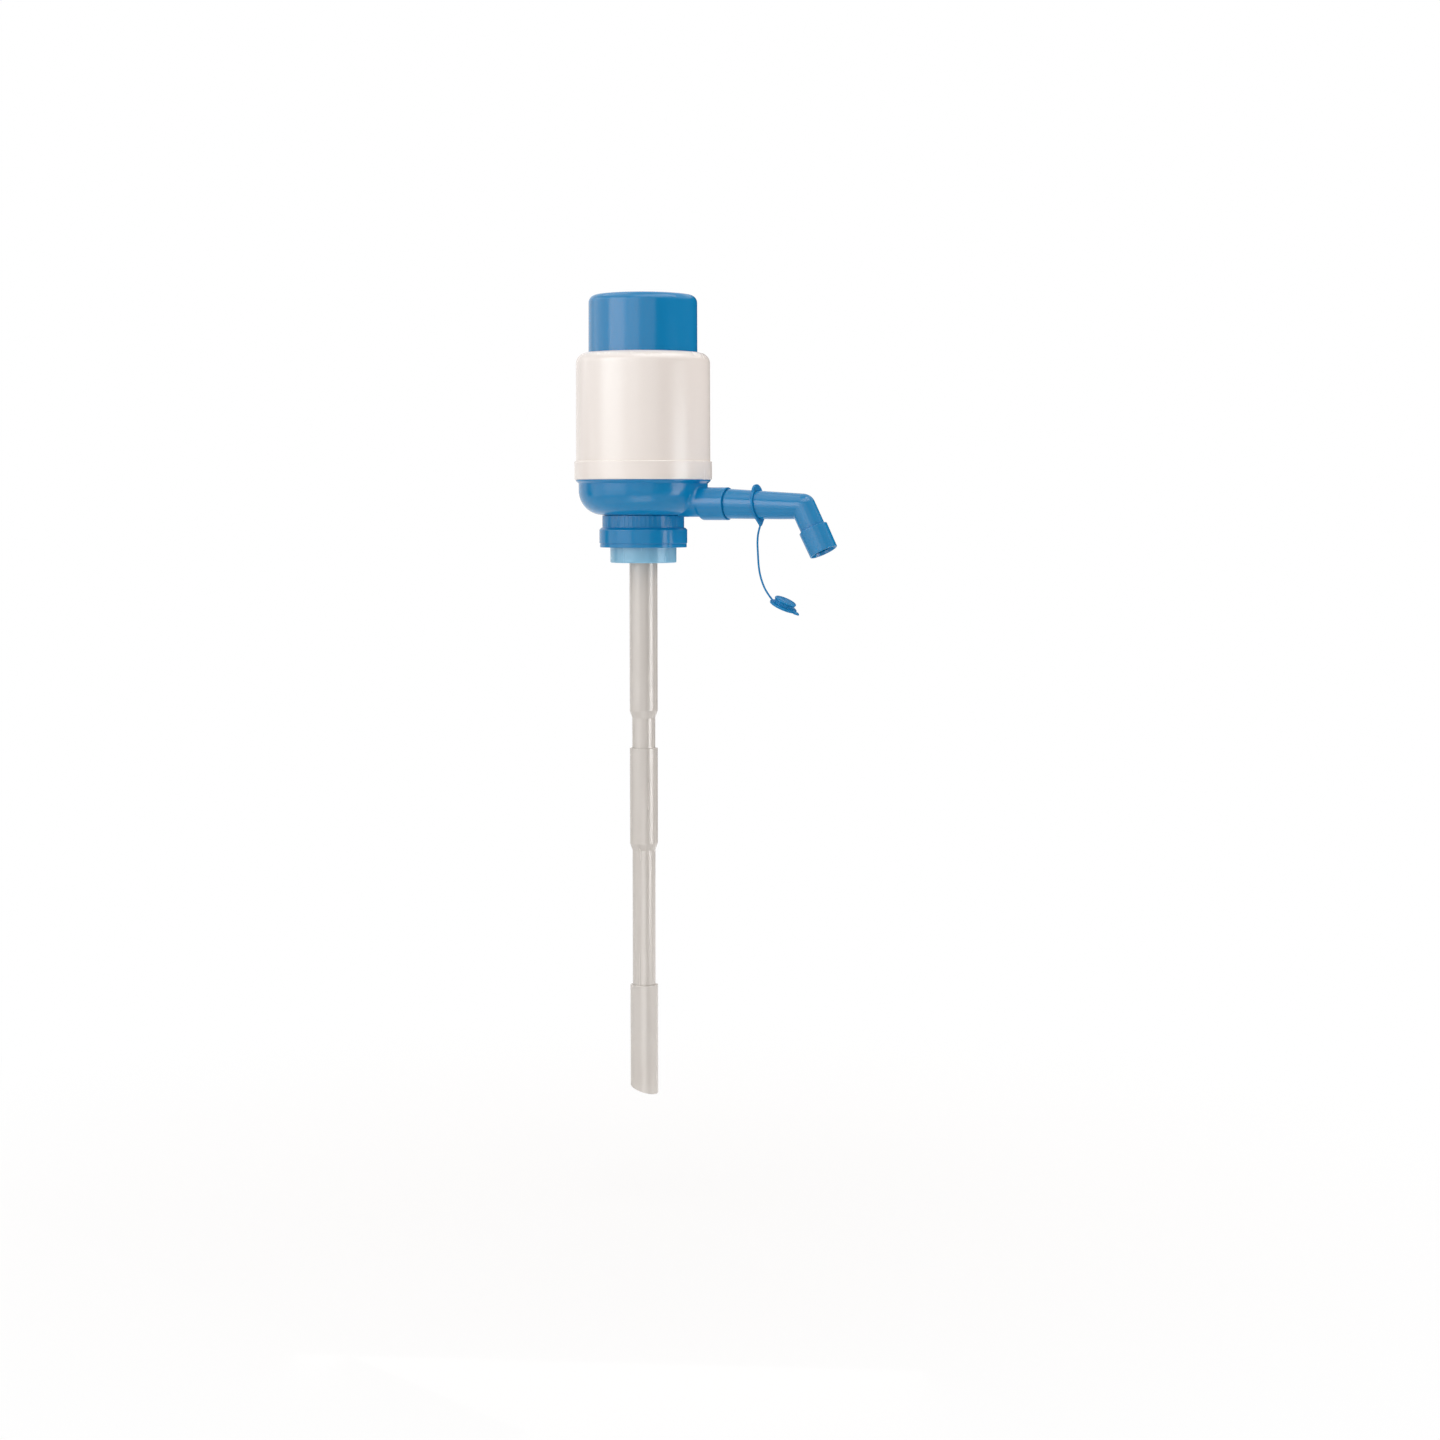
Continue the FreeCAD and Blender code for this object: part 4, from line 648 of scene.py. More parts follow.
FINISHES = {
    Slot.BLUE: Finish("blue_moulding", (0, 130, 188), (60, 152, 198), 0.2, gloss=PEACH_GLOSS,
                      texture=0.0005, specular=0.36, flow=0.06, wear=0.2, marks=0.2, dust=0.0),
    Slot.WHITE: Finish("white_moulding", (242, 234, 228), (248, 241, 237), 0.26, specular=0.6,
                       gloss=COOL_GLOSS, flow=0.1, wear=0.2, marks=0.1, dust=0.02),
    Slot.PALE_BLUE: Finish("pale_blue_moulding", (132, 196, 230), (180, 220, 240), 0.26,
                           clear=0.1, flow=0.25, wear=0.3, dust=0.05),
    Slot.SOFT_BLUE: Finish("soft_blue_moulding", (0, 124, 182), (70, 156, 202), 0.34,
                           texture=0.0005, gloss=PEACH_GLOSS, specular=0.25, flow=0.08,
                           wear=0.3, marks=0.2, dust=0.0),
    Slot.TUBE: Finish("natural_tube", (226, 221, 215), (240, 237, 233), 0.24, clear=0.25,
                      specular=0.75, flow=0.3, texture=0.002, wear=0.2, marks=0.25, dust=0.03),
    Slot.RUBBER: Finish("bellows_rubber", (52, 54, 58), (110, 112, 116), 0.55, texture=0.02,
                        texture_scale=2600.0, dust=0.15),
    Slot.WHITE_SEAL: Finish("white_seal", (226, 224, 220), (244, 243, 240), 0.5, texture=0.015),
    Slot.BLACK_SEAL: Finish("black_seal", (24, 24, 26), (70, 70, 74), 0.42, texture=0.012,
                            texture_scale=2600.0),
    Slot.SILICONE: Finish("clear_silicone", (232, 236, 238), (250, 250, 250), 0.25, clear=0.7,
                          flow=0.2),
    Slot.STEEL: Finish("spring_steel", (178, 180, 182), (225, 226, 228), 0.26, metallic=1.0,
                       texture=0.004, texture_scale=3200.0, flow=0.4),
}


def dress(piece: bpy.types.Object, slot: Slot) -> None:
    """Give a piece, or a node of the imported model, the finish of its slot."""
    material = FINISHES[slot].material()
    if piece.material_slots:
        for place in piece.material_slots:
            place.material = material
    else:
        piece.data.materials.append(material)


def finished(name: str, skins: Sequence[Skin], body: Body, slot: Slot,
             *nodes: str) -> bpy.types.Object:
    """Make a piece of surfaces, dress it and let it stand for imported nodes.

    Args:
        name: Name of the piece.
        skins: Its surfaces.
        body: The body that it moves with.
        slot: The slot that gives its finish.
        nodes: The nodes that it stands for.

    Returns:
        The piece.
    """
    return attach(write_mesh(name, skins), body, slot, *nodes)


def attach(piece: bpy.types.Object, body: Body, slot: Slot, *nodes: str) -> bpy.types.Object:
    """Dress a made piece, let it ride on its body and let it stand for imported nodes.

    Args:
        piece: The piece.
        body: The body that it moves with.
        slot: The slot that gives its finish.
        nodes: The nodes that it stands for.

    Returns:
        The same piece.
    """
    dress(piece, slot)
    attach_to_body(piece, body.value)
    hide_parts(*nodes)
    return piece


# Sub-assemblies


class Assembly(ABC):
    """A sub-assembly, whose fields are its sizes in mm."""

    @abstractmethod
    def build(self) -> list[bpy.types.Object]:
        """Make and dress the pieces and return them."""


@dataclass
class Tether(Assembly):
    """Ring on the spout, moulded strap and dust cap."""

    ring_centre: tuple[float, float, float] = (73.389, 0.0, 14.24)
    ring_lean: float = 7.0
    ring_thickness: float = 1.4
    ring_bore: float = 8.06
    ring_radius: float = 9.243
    ear_radius: float = 6.5
    ear_reach: float = 11.643
    tip_radius: float = 1.1
    tip_reach: float = 11.943
    rim_round: float = 0.3
    strap_radius: float = 0.55
    strap_length: float = 44.4
    strap_route: tuple[tuple[float, float], ...] = (
        (74.75, 3.1), (73.85, 0.5), (73.05, -3.0), (72.8, -7.6), (73.15, -13.0),
        (73.45, -18.7), (74.3, -24.5), (76.2, -30.3), (78.9, -35.2), (82.1, -38.9))
    cap_axis: Axis = Axis((88.7, 0.0, -43.1), 25.5)
    flange_radius: float = 8.05
    flange_thickness: float = 1.3
    crown: float = 0.9
    crown_share: float = 0.93
    boss_radius: float = 6.4
    boss_neck: float = 6.0
    boss_height: float = 3.5
    bead_start: float = 1.7
    tab_length: float = 2.8
    tab_width: float = 5.0
    tab_round: float = 1.6
    tab_thickness: float = 1.0

    def ring_reach(self, angle: np.ndarray) -> np.ndarray:
        """Work out how far the ring's outside lies from its middle in each direction.

        The outside is the greatest reach of three shapes: the ring's circle; the ear's circle,
        b cos a + sqrt(r^2 - b^2 sin^2 a) for its middle b above; and the tip, which is a small
        circle below, joined to the ring by the two lines that touch both circles.

        Args:
            angle: Angle from straight up.

        Returns:
            The reach for each angle.
        """
        lift = self.ear_reach - self.ear_radius
        ear = lift * np.cos(angle) + np.sqrt(self.ear_radius**2 - (lift * np.sin(angle))**2)
        down = np.abs(np.angle(np.exp(1j * (angle - np.pi))))
        drop = self.tip_reach - self.tip_radius
        touch = np.arccos((self.ring_radius - self.tip_radius) / drop)
        line = self.ring_radius / np.cos(np.clip(touch - down, 0, None))
        small = np.arctan2(self.tip_radius * np.sin(touch),
                           drop + self.tip_radius * np.cos(touch))
        inside = np.clip(self.tip_radius**2 - (drop * np.sin(down))**2, 0, None)
        tip = np.where(down < small, drop * np.cos(down) + np.sqrt(inside), line)
        return np.maximum(ear, np.where(down < touch, tip, self.ring_radius))

    def ring(self) -> Skin:
        """Carry the ring's flat section round, from its bore to its outside at each angle.

        Returns:
            The ring's closed surface.
        """
        angle = all_round(480)[None, :]
        outside = self.ring_reach(angle)
        half, turn = self.ring_thickness / 2, np.linspace(0, np.pi / 2, 6)
        inset = np.concatenate([[self.rim_round + GUARD], self.rim_round * (1 - np.sin(turn))])
        level = np.concatenate([[half], half - self.rim_round * (1 - np.cos(turn))])
        inset = np.concatenate([inset, inset[::-1]])[:, None]
        level = np.concatenate([level, -level[::-1]])[:, None]
        reach = np.concatenate([outside - inset, self.ring_bore + inset + 0 * outside])
        height = np.concatenate([level, level[::-1]]) + 0 * outside
        axis = Axis(self.ring_centre, 90 - self.ring_lean)
        points = axis.place(-reach * np.cos(angle), reach * np.sin(angle), height)
        crest = np.concatenate([[0.0], np.sin(2 * turn), np.sin(2 * turn), [0.0]])
        return Skin(points, np.tile(crest, 2)[:, None] * 0.8 + 0 * height, True)

    def strap(self) -> bpy.types.Object:
        """Lay the strap as one smooth line that is drawn to its route's points.

        Returns:
            The strap's curve.
        """
        curve = bpy.data.curves.new("tether_strap", "CURVE")
        curve.dimensions = "3D"
        line = curve.splines.new("NURBS")
        line.points.add(len(self.strap_route) - 1)
        spots = np.array([(x * MM, 0.0, z * MM, 1.0) for x, z in self.strap_route])
        line.points.foreach_set("co", spots.ravel())
        line.order_u = 3
        line.use_endpoint_u = True
        line.resolution_u = 12
        curve.bevel_depth = self.strap_radius * MM
        curve.bevel_resolution = 6
        curve.use_fill_caps = True
        return put(curve)

    def cap(self) -> list[Skin]:
        """Turn the cap's flange and boss, and thicken its pull tab.

        Returns:
            The flange with its boss, and the tab.
        """
        flange, boss = self.flange_thickness, self.flange_thickness + self.boss_height
        sphere = (self.flange_radius**2 + self.crown**2) / (2 * self.crown)
        spread = np.linspace(0, self.crown_share * self.flange_radius, 12)
        bottom = sphere - self.crown - np.sqrt(sphere**2 - spread**2)
        rim = rounded([(spread[-1], bottom[-1]), (self.flange_radius, 0.1, 0.45),
                       (self.flange_radius, flange, 0.4), (self.boss_neck, flange, 0.3),
                       (self.boss_neck, boss - self.bead_start, 0.3),
                       (self.boss_radius, boss - self.bead_start + 0.5, 0.4),
                       (self.boss_radius, boss - 0.35, 0.9), (3.0, boss, 8.0), (0.0, boss)],
                      loop=False)
        body = turned(rim.after(spread[:-1], bottom[:-1]), self.cap_axis, 128)
        angle = all_round(64)
        start, end = self.boss_radius, self.flange_radius + self.tab_length
        power = 2 * self.tab_width / (self.tab_width + 2 * self.tab_round)
        reach = square_reach(angle, power)
        plan = np.stack([(start + end) / 2 + (end - start) / 2 * np.cos(angle) * reach,
                         self.tab_width / 2 * np.sin(angle) * reach], axis=1)
        tab = slab(plan, 0.02, self.tab_thickness, 0.3, self.cap_axis)
        return [body, tab]

    def build(self) -> list[bpy.types.Object]:
        """Make the ring, the strap and the cap.

        Returns:
            The three pieces.
        """
        ring = finished("tether_band", [self.ring()], Body.TETHER, Slot.SOFT_BLUE, "tether_ring")
        cap = finished("outlet_cap", self.cap(), Body.TETHER, Slot.SOFT_BLUE, "dust_cap")
        strap = attach(self.strap(), Body.TETHER, Slot.SOFT_BLUE, "tether_strand")
        return [ring, strap, cap]


@dataclass
class Spout(Assembly):
    """Bent spout that turns in the socket, and the sleeve on its end."""

    mouth: float = 54.5
    root_start: float = -12.2
    root_radius: float = 7.82
    bead_radius: float = 8.12
    shoulder_gap: float = 0.8
    leg_length: float = 46.6
    leg_radius: float = 8.4
    corner_radius: float = 7.15
    fall_length: float = 13.6
    fall_radius: float = 7.1
    spigot_radius: float = 5.95
    spigot_length: float = 8.3
    bore: float = 4.9
    wall: float = 1.5
    slope: float = 2.0
    bend: float = 63.2
    crease: float = 0.9
    leg_ease: float = 14.0
    fall_ease: float = 11.0
    seam: float = 0.05
    seam_width: float = 0.012
    sleeve_length: float = 14.8
    sleeve_radius: float = 8.35
    sleeve_end: float = 8.15
    sleeve_bore: float = 6.0
    outlet_radius: float = 6.5
    outlet_depth: float = 6.0
    mouth_radius: float = 7.35
    mouth_chamfer: float = 1.6

    def bent(self, radius: np.ndarray, station: np.ndarray, angle: np.ndarray) -> np.ndarray:
        """Place the pipe's points along its bent line.

        Stations run along the level root, the sloping leg, the corner and the fall. A ring at
        a station is centre + radius * (cos t * up + sin t * side). At the corner, the outer
        half of the ring swings round a ball. The inner half follows the line in which the two
        pipes meet, eased by a curve of the second degree, and the rings on both sides of the
        corner draw back from it there.

        Args:
            radius: Radius of each ring.
            station: Station of each ring, 0 at the socket's mouth.
            angle: Angle round the pipe, 0 on top.

        Returns:
            The points, rings by angles.
        """
        slope, bend = np.radians(self.slope), np.radians(self.bend)
        turn = bend - slope
        width = turn * self.corner_radius
        leg, up = (np.array([np.cos(slope), 0, -np.sin(slope)]),
                   np.array([np.sin(slope), 0, np.cos(slope)]))
        fall = np.cos(turn) * leg - np.sin(turn) * up
        start = np.array([self.mouth, 0.0, SPOUT_LEVEL])
        corner = start + self.leg_length * leg
        inner = np.clip(-np.cos(angle), 0, None) * radius
        draw_back = inner * (np.tan(turn / 2) + self.crease / self.corner_radius)
        along = station + 0 * angle
        past = along - self.leg_length - width
        lift = (radius * np.cos(angle))[..., None]
        root = start + along[..., None] * np.array([1.0, 0, 0]) + lift * UP
        ramp = np.clip(1 + (along - self.leg_length) / self.leg_ease, 0, 1)
        leg_wall = start + (along - ramp * draw_back)[..., None] * leg + lift * up
        ramp = np.clip(1 - past / self.fall_ease, 0, 1)
        out = np.sin(turn) * leg + np.cos(turn) * up
        fall_wall = corner + (past + ramp * draw_back)[..., None] * fall + lift * out
        share = np.clip((along - self.leg_length) / width, 0, 1)
        swing = share * turn
        normal = np.cos(swing)[..., None] * up + np.sin(swing)[..., None] * leg
        ball = corner + normal * lift
        middle = np.cos(turn / 2) * up + np.sin(turn / 2) * leg
        meet = corner - middle * (inner / np.cos(turn / 2))[..., None]
        ease = (inner * self.crease / self.corner_radius)[..., None]
        weight = share[..., None]
        fold = meet - (1 - weight)**2 * ease * leg + weight**2 * ease * fall
        bow = np.where(lift < 0, fold, ball)
        points = np.where((past < 0)[..., None], bow, fall_wall)
        points = np.where((along < self.leg_length)[..., None], leg_wall, points)
        points = np.where((along < 0)[..., None], root, points)
        return points + SIDEWAYS * (radius * np.sin(angle))[..., None]

    def pipe(self) -> Skin:
        """Carry the pipe's wall section along the bent line, with faint seams of the tool.

        Returns:
            The pipe's closed wall.
        """
        turn = np.radians(self.bend - self.slope) * self.corner_radius
        bow_start, bow_end = self.leg_length, self.leg_length + turn
        fall_end = bow_end + self.fall_length
        tip = fall_end + self.spigot_length
        first, gap = self.root_start, self.shoulder_gap
        bead = first + 0.6
        low, thin = self.corner_radius, self.root_radius - self.wall
        corners = [
            (thin, first), (self.root_radius, first), (self.root_radius, bead),
            (self.bead_radius, bead + 0.1), (self.bead_radius, bead + 1.0),
            (self.root_radius, bead + 1.1), (self.root_radius, gap), (self.leg_radius, gap, 0.25),
            (low, bow_start, 30.0), (low, bow_end, 30.0), (self.fall_radius, fall_end - 0.05),
            (self.spigot_radius, fall_end), (self.spigot_radius, tip, 0.4), (self.bore, tip, 0.3),
            (self.bore, bow_end + 2.0), (low - self.wall, bow_end, 20.0),
            (low - self.wall, bow_start, 20.0), (self.leg_radius - self.wall, gap + 1.0),
            (thin, 0.0)]
        section = rounded(corners)
        stations = np.linspace(0, 1, len(section.radius))
        walk = np.concatenate([[0], np.cumsum(np.hypot(np.diff(section.radius),
                                                       np.diff(section.height)))])
        extra = np.arange(0, walk[-1], 0.6)
        far = np.abs(extra[:, None] - walk[None, :]).min(axis=1) > 0.1
        walks = np.sort(np.concatenate([walk + 1e-9 * stations, extra[far]]))
        radius, height, edge = (np.interp(walks, walk, values) for values in
                                (section.radius, section.height, section.edge))
        near = np.array([-0.022, -0.01, 0.01, 0.022])
        angle = np.sort(np.concatenate([all_round(144), near % (2 * np.pi), near + np.pi]))
        ridge = self.seam * np.exp(-(np.sin(angle) / self.seam_width)**2)
        outside = ((height > self.shoulder_gap + 0.5) & (height < fall_end - 0.3)
                   & (radius > self.corner_radius - 0.3))
        radius, height = radius[:, None], height[:, None]
        points = self.bent(radius + ridge * outside[:, None], height, angle)
        return Skin(points, edge[:, None] + 0 * angle, True)

    def sleeve(self) -> Skin:
        """Turn the sleeve about the fall's own line.

        Returns:
            The sleeve's closed wall.
        """
        slope, bend = np.radians(self.slope), np.radians(self.bend)
        x = self.mouth + self.leg_length * np.cos(slope) + self.fall_length * np.cos(bend)
        z = SPOUT_LEVEL - self.leg_length * np.sin(slope) - self.fall_length * np.sin(bend)
        step = self.sleeve_length - self.outlet_depth
        return turned(rounded([
            (self.sleeve_bore, 0.02, 0.15), (self.sleeve_radius, 0.02, 0.4),
            (self.sleeve_end, self.sleeve_length, 0.35),
            (self.mouth_radius, self.sleeve_length, 0.2),
            (self.outlet_radius, self.sleeve_length - self.mouth_chamfer, 0.6),
            (self.outlet_radius, step), (self.sleeve_bore, step)]),
            Axis((x, 0.0, z), 90 + self.bend), 160)

    def build(self) -> list[bpy.types.Object]:
        """Make the pipe and its sleeve and return them."""
        return [finished("spout_pipe", [self.pipe()], Body.SPOUT, Slot.BLUE, "spout"),
                finished("outlet_sleeve", [self.sleeve()], Body.SPOUT, Slot.BLUE,
                         "spout_sleeve")]


@dataclass
class Housing(Assembly):
    """Blue bowl with its socket, and the white shell above it."""

    floor: float = 8.5
    floor_top: float = 10.1
    bowl_radius: float = 37.0
    bowl_bore: float = 35.4
    bowl_hole: float = 18.7
    pilot_radius: float = 22.3
    pilot_bottom: float = 7.2
    bowl_corner: float = 14.2
    bowl_rim: float = 36.2
    stop_radius: float = 38.6
    stop_bottom: float = 26.5
    stop_taper: float = 1.4
    shell_bottom: float = 28.6
    bead_radius: float = 37.35
    bead_level: float = 33.4
    stub_start: float = 24.5
    stub_end: float = 23.4
    stub_radius: float = 7.5
    stub_wall: float = 0.6
    stub_bore: float = 5.0
    flare_start: float = 37.2
    flare_end: float = 39.4
    wall_end: float = 41.0
    socket_radius: float = 9.3
    socket_bore: float = 7.9
    socket_floor: float = 42.0
    socket_mouth: float = 54.5
    bead_room: float = 8.42
    groove_start: float = 42.6
    groove_end: float = 44.2
    fillet: float = 0.6
    side_fillet: float = 2.4
    fillet_fade: float = 5.0
    root_sink: float = 0.03
    root_lead: float = 0.15
    low_side: float = 1.4
    ring_crowding: float = 1.3
    skirt_radius: float = 39.4
    skirt_bore: float = 37.4
    skirt_top: float = 39.1
    shell_radius: float = 38.3
    shell_draft: float = 0.15
    shell_bore: float = 36.5
    shell_top: float = 100.8
    shell_roof: float = 2.0
    shoulder: float = 6.1
    opening_radius: float = 31.6
    guide_radius: float = 33.2
    guide_end: float = 72.0
    plate_top: float = 39.4

    def bowl_reach(self, height: np.ndarray) -> np.ndarray:
        """Give the bowl's outside radius: a quarter circle, then a plain wall.

        Args:
            height: Heights in the model.

        Returns:
            The radius at each height.
        """
        inset = self.bowl_radius - self.bowl_corner
        below = np.clip(self.floor + self.bowl_corner - height, 0, self.bowl_corner)
        return inset + np.sqrt(self.bowl_corner**2 - below**2)

    def bowl(self) -> Skin:
        """Turn the bowl's wall, from its floor up to its rim."""
        bead = 0.8
        return turned(rounded([
            (self.bowl_hole, self.pilot_bottom), (self.pilot_radius, self.pilot_bottom),
            (self.pilot_radius, self.floor, 0.1),
            (self.bowl_radius, self.floor, self.bowl_corner),
            (self.bowl_radius, self.stop_bottom, 0.3),
            (self.stop_radius, self.stop_bottom + self.stop_taper, 0.3),
            (self.stop_radius, self.shell_bottom - 0.02, 0.15),
            (self.bowl_radius, self.shell_bottom - 0.02, 0.1),
            (self.bowl_radius, self.bead_level - bead), (self.bead_radius, self.bead_level, 0.3),
            (self.bowl_radius, self.bead_level + bead), (self.bowl_radius, self.bowl_rim),
            (self.bowl_bore, self.bowl_rim), (self.bowl_bore, self.floor_top, 12.6),
            (self.bowl_hole, self.floor_top)], steps=16), sectors=256)

    def socket(self) -> Skin:
        """Carry the stub and socket along the spout's line, rooted in the bowl by a fillet.

        Rings lie round the level line at the spout's height. The first ones follow the bowl,
        where x = sqrt(reach(z)^2 - y^2), and a curve of the second degree leads from there to
        the wall. Underneath, the wall grows from the stub's radius to the socket's by a smooth
        step, and at the sides and on top it has the socket's radius from the bowl on. It turns
        in at the mouth and comes back along the bore.

        Returns:
            The closed wall.
        """
        angle = all_round(192)
        up, side = np.cos(angle), np.sin(angle)
        under = (self.socket_radius - self.stub_radius) * smooth_step(-self.low_side * up)

        def on_bowl(reach: np.ndarray) -> np.ndarray:
            """Give the x at which a ring of this radius touches the bowl, at each angle."""
            around = self.bowl_reach(SPOUT_LEVEL + reach * up)
            return np.maximum(np.sqrt(around**2 - (reach * side)**2), self.stub_start)

        def outside(place: np.ndarray) -> np.ndarray:
            """Give the wall's outer radius at each x: the socket's, less the eased flare."""
            share = (place - self.flare_start) / (self.flare_end - self.flare_start)
            return self.socket_radius - under * (1 - smooth_step(share))

        start = self.socket_radius - under
        size = self.fillet + self.side_fillet * np.abs(side)
        room = SPOUT_LEVEL + start * up - self.floor - 1
        size = size * np.clip(room / self.fillet_fade, 0, 1)
        foot, root = on_bowl(start + size) - self.root_sink, on_bowl(start)
        leave = root + size + self.root_lead
        weight = np.linspace(0, 1, 9)[:, None]
        run = np.linspace(0, 1, 28)[1:, None]
        wall = leave + (self.wall_end - leave) * run**self.ring_crowding
        inside = self.stub_radius - self.stub_wall
        mouth = rounded([
            (self.socket_radius, self.wall_end + 0.2),
            (self.socket_radius, self.socket_mouth, 0.35),
            (self.socket_bore, self.socket_mouth, 0.35), (self.socket_bore, self.groove_end, 0.1),
            (self.bead_room, self.groove_end, 0.1), (self.bead_room, self.groove_start, 0.1),
            (self.socket_bore, self.groove_start, 0.1), (self.socket_bore, self.socket_floor, 0.1),
            (self.stub_bore, self.socket_floor, 0.3), (self.stub_bore, self.stub_end, 0.2),
            (inside, self.stub_end)], loop=False)
        back = np.maximum(foot - 1.0, self.stub_end + 0.1)[None, :]
        x = np.concatenate([bowed(foot, root, leave, weight), wall,
                            mouth.height[:, None] + 0 * angle, back])
        reach = np.concatenate([bowed(start + size, outside(root), outside(leave), weight),
                                outside(wall), mouth.radius[:, None] + 0 * angle,
                                0 * back + inside])
        edge = np.concatenate([np.zeros(len(weight) + len(run)), mouth.edge, [0.0]])
        points = np.stack([x, reach * side, SPOUT_LEVEL + reach * up], axis=-1)
        return Skin(points, edge[:, None] + 0 * angle, True)

    def shell(self) -> Skin:
        """Turn the shell: skirt, drafted wall, round shoulder and the plunger's guide."""
        roof = self.shell_top - self.shell_roof
        return turned(rounded([
            (self.skirt_bore, self.shell_bottom), (self.skirt_radius, self.shell_bottom, 0.6),
            (self.skirt_radius, self.skirt_top, 0.45),
            (self.shell_radius + self.shell_draft, self.skirt_top, 0.12),
            (self.shell_radius, self.shell_top, self.shoulder),
            (self.opening_radius, self.shell_top, 0.4), (self.opening_radius, self.guide_end),
            (self.guide_radius, self.guide_end), (self.guide_radius, roof, 0.4),
            (self.shell_bore, roof, 2.4), (self.shell_bore, self.plate_top, 0.1),
            (self.skirt_bore, self.plate_top, 0.1)], steps=10), sectors=256)

    def build(self) -> list[bpy.types.Object]:
        """Make the bowl and the shell and return them."""
        return [finished("bowl_and_socket", [self.bowl(), self.socket()], Body.BASE, Slot.BLUE,
                         "base_bowl"),
                finished("shell", [self.shell()], Body.BASE, Slot.WHITE, "housing_shell")]


@dataclass
class NeckFitting(Assembly):
    """Nut with its thread, and the pale plug that enters the jug's neck."""

    ring_radius: float = 25.25
    ring_top: float = 1.3
    ring_chamfer: float = 1.2
    ring_bottom: float = -7.6
    groove_depth: float = 0.5
    lip_radius: float = 24.9
    lip_top: float = -8.2
    bottom: float = -10.0
    sleeve_radius: float = 23.4
    top: float = 8.3
    plain_bore: float = 22.6
    thread_bore: float = 24.25
    roof_bottom: float = 3.9
    roof_top: float = 5.5
    hole_radius: float = 19.4
    rib_count: int = 60
    rib_height: float = 0.08
    rib_base: float = 1.3
    rib_crest: float = 0.32
    crest_radius: float = 23.35
    thread_start: float = -9.2
    thread_pitch: float = 4.0
    thread_rise: float = 5.0
    thread_root: float = 2.0
    thread_crest: float = 0.8
    thread_top: float = -2.85
    runout_top: float = -1.2
    plug_radius: float = 19.0
    plug_bore: float = 17.2
    plug_length: float = 18.8
    neck_radius: float = 18.6
    neck_top: float = 12.3
    snap_lip: float = 0.5
    snap_level: float = 10.1
    flange_radius: float = 22.3
    flange_bottom: float = 1.8
    flange_top: float = 3.6
    hub_bore: float = 6.65
    hub_radius: float = 8.65
    hub_length: float = 4.0
    spoke_width: float = 1.8
    branch_room: float = 5.0

    def nut(self) -> Skin:
        """Turn the nut's wall with its ring, groove, lip, sleeve and roof."""
        deep = self.ring_radius - self.groove_depth
        return turned(rounded([
            (self.thread_bore, self.bottom, 0.3), (self.lip_radius, self.bottom, 0.45),
            (self.lip_radius, self.lip_top, 0.15), (deep, self.lip_top, 0.1),
            (deep, self.ring_bottom, 0.1), (self.ring_radius, self.ring_bottom, 0.25),
            (self.ring_radius, self.ring_top - self.ring_chamfer, 0.5),
            (self.ring_radius - self.ring_chamfer, self.ring_top, 0.35),
            (self.sleeve_radius, self.ring_top, 0.15), (self.sleeve_radius, self.top, 0.3),
            (self.plain_bore, self.top), (self.plain_bore, self.roof_top),
            (self.hole_radius, self.roof_top), (self.hole_radius, self.roof_bottom),
            (self.plain_bore, self.roof_bottom), (self.plain_bore, self.runout_top),
            (self.thread_bore, self.thread_top)]), sectors=240)

    def ribs(self) -> list[Skin]:
        """Carry a rounded ridge up the sleeve and repeat it round the nut.

        The ridge's section is height * (1 - |across|^2.4)^0.6 over its base, and it shrinks
        towards both of its ends.

        Returns:
            One surface for each rib.
        """
        turn = all_round(14)
        across = np.cos(turn) * self.rib_base / 2
        swell = (1 - np.abs(np.cos(turn))**2.4)**0.6
        along = np.where(np.sin(turn) > 0, swell, -0.6 * swell) * self.rib_height
        foot, head = self.ring_top - 0.3, self.top - 0.12
        level = np.array([foot, foot, self.ring_top, self.top - 0.7, self.top - 0.35, head, head])
        scale = np.array([0.0, 1.0, 1.0, 1.0, 0.85, 0.55, 0.0])
        skins = []
        for spot in all_round(self.rib_count):
            out, side = ways_at(spot)
            path = out * self.sleeve_radius + level[:, None] * UP
            skins.append(swept(path, side + 0 * path, out + 0 * path, across, along, scale))
        return skins

    def thread(self) -> Skin:
        """Carry the thread's trapezium along a helix inside the nut, thinning at both ends.

        Returns:
            The thread's closed surface, sunk a little into the nut's wall.
        """
        turn = np.linspace(0, 2 * np.pi * self.thread_rise / self.thread_pitch, 260)
        middle = self.thread_start + self.thread_root / 2
        level = middle + self.thread_pitch * turn / (2 * np.pi)
        inward = -np.stack([np.cos(turn), np.sin(turn), 0 * turn], axis=1)
        upward = UP + 0 * inward
        sunk = self.thread_bore + 0.25
        path = -inward * sunk + level[:, None] * upward
        depth = sunk - self.crest_radius
        root, crest = self.thread_root / 2 + 0.1, self.thread_crest / 2
        section = rounded([(0.0, -root, 0.05), (depth, -crest, 0.15), (depth, crest, 0.15),
                           (0.0, root, 0.05)], steps=3)
        ease = np.clip(np.minimum(turn, turn[::-1]) / 0.35, 0, 1)
        ease[[0, -1]] = 0.0
        return swept(path, inward, upward, section.radius, section.height,
                     np.sqrt(np.sin(ease * np.pi / 2)))

    def plug(self) -> list[Skin]:
        """Turn the plug's wall and hub, and carry three spokes from one to the other.

        Returns:
            The wall, the hub and the spokes.
        """
        lip = self.flange_bottom

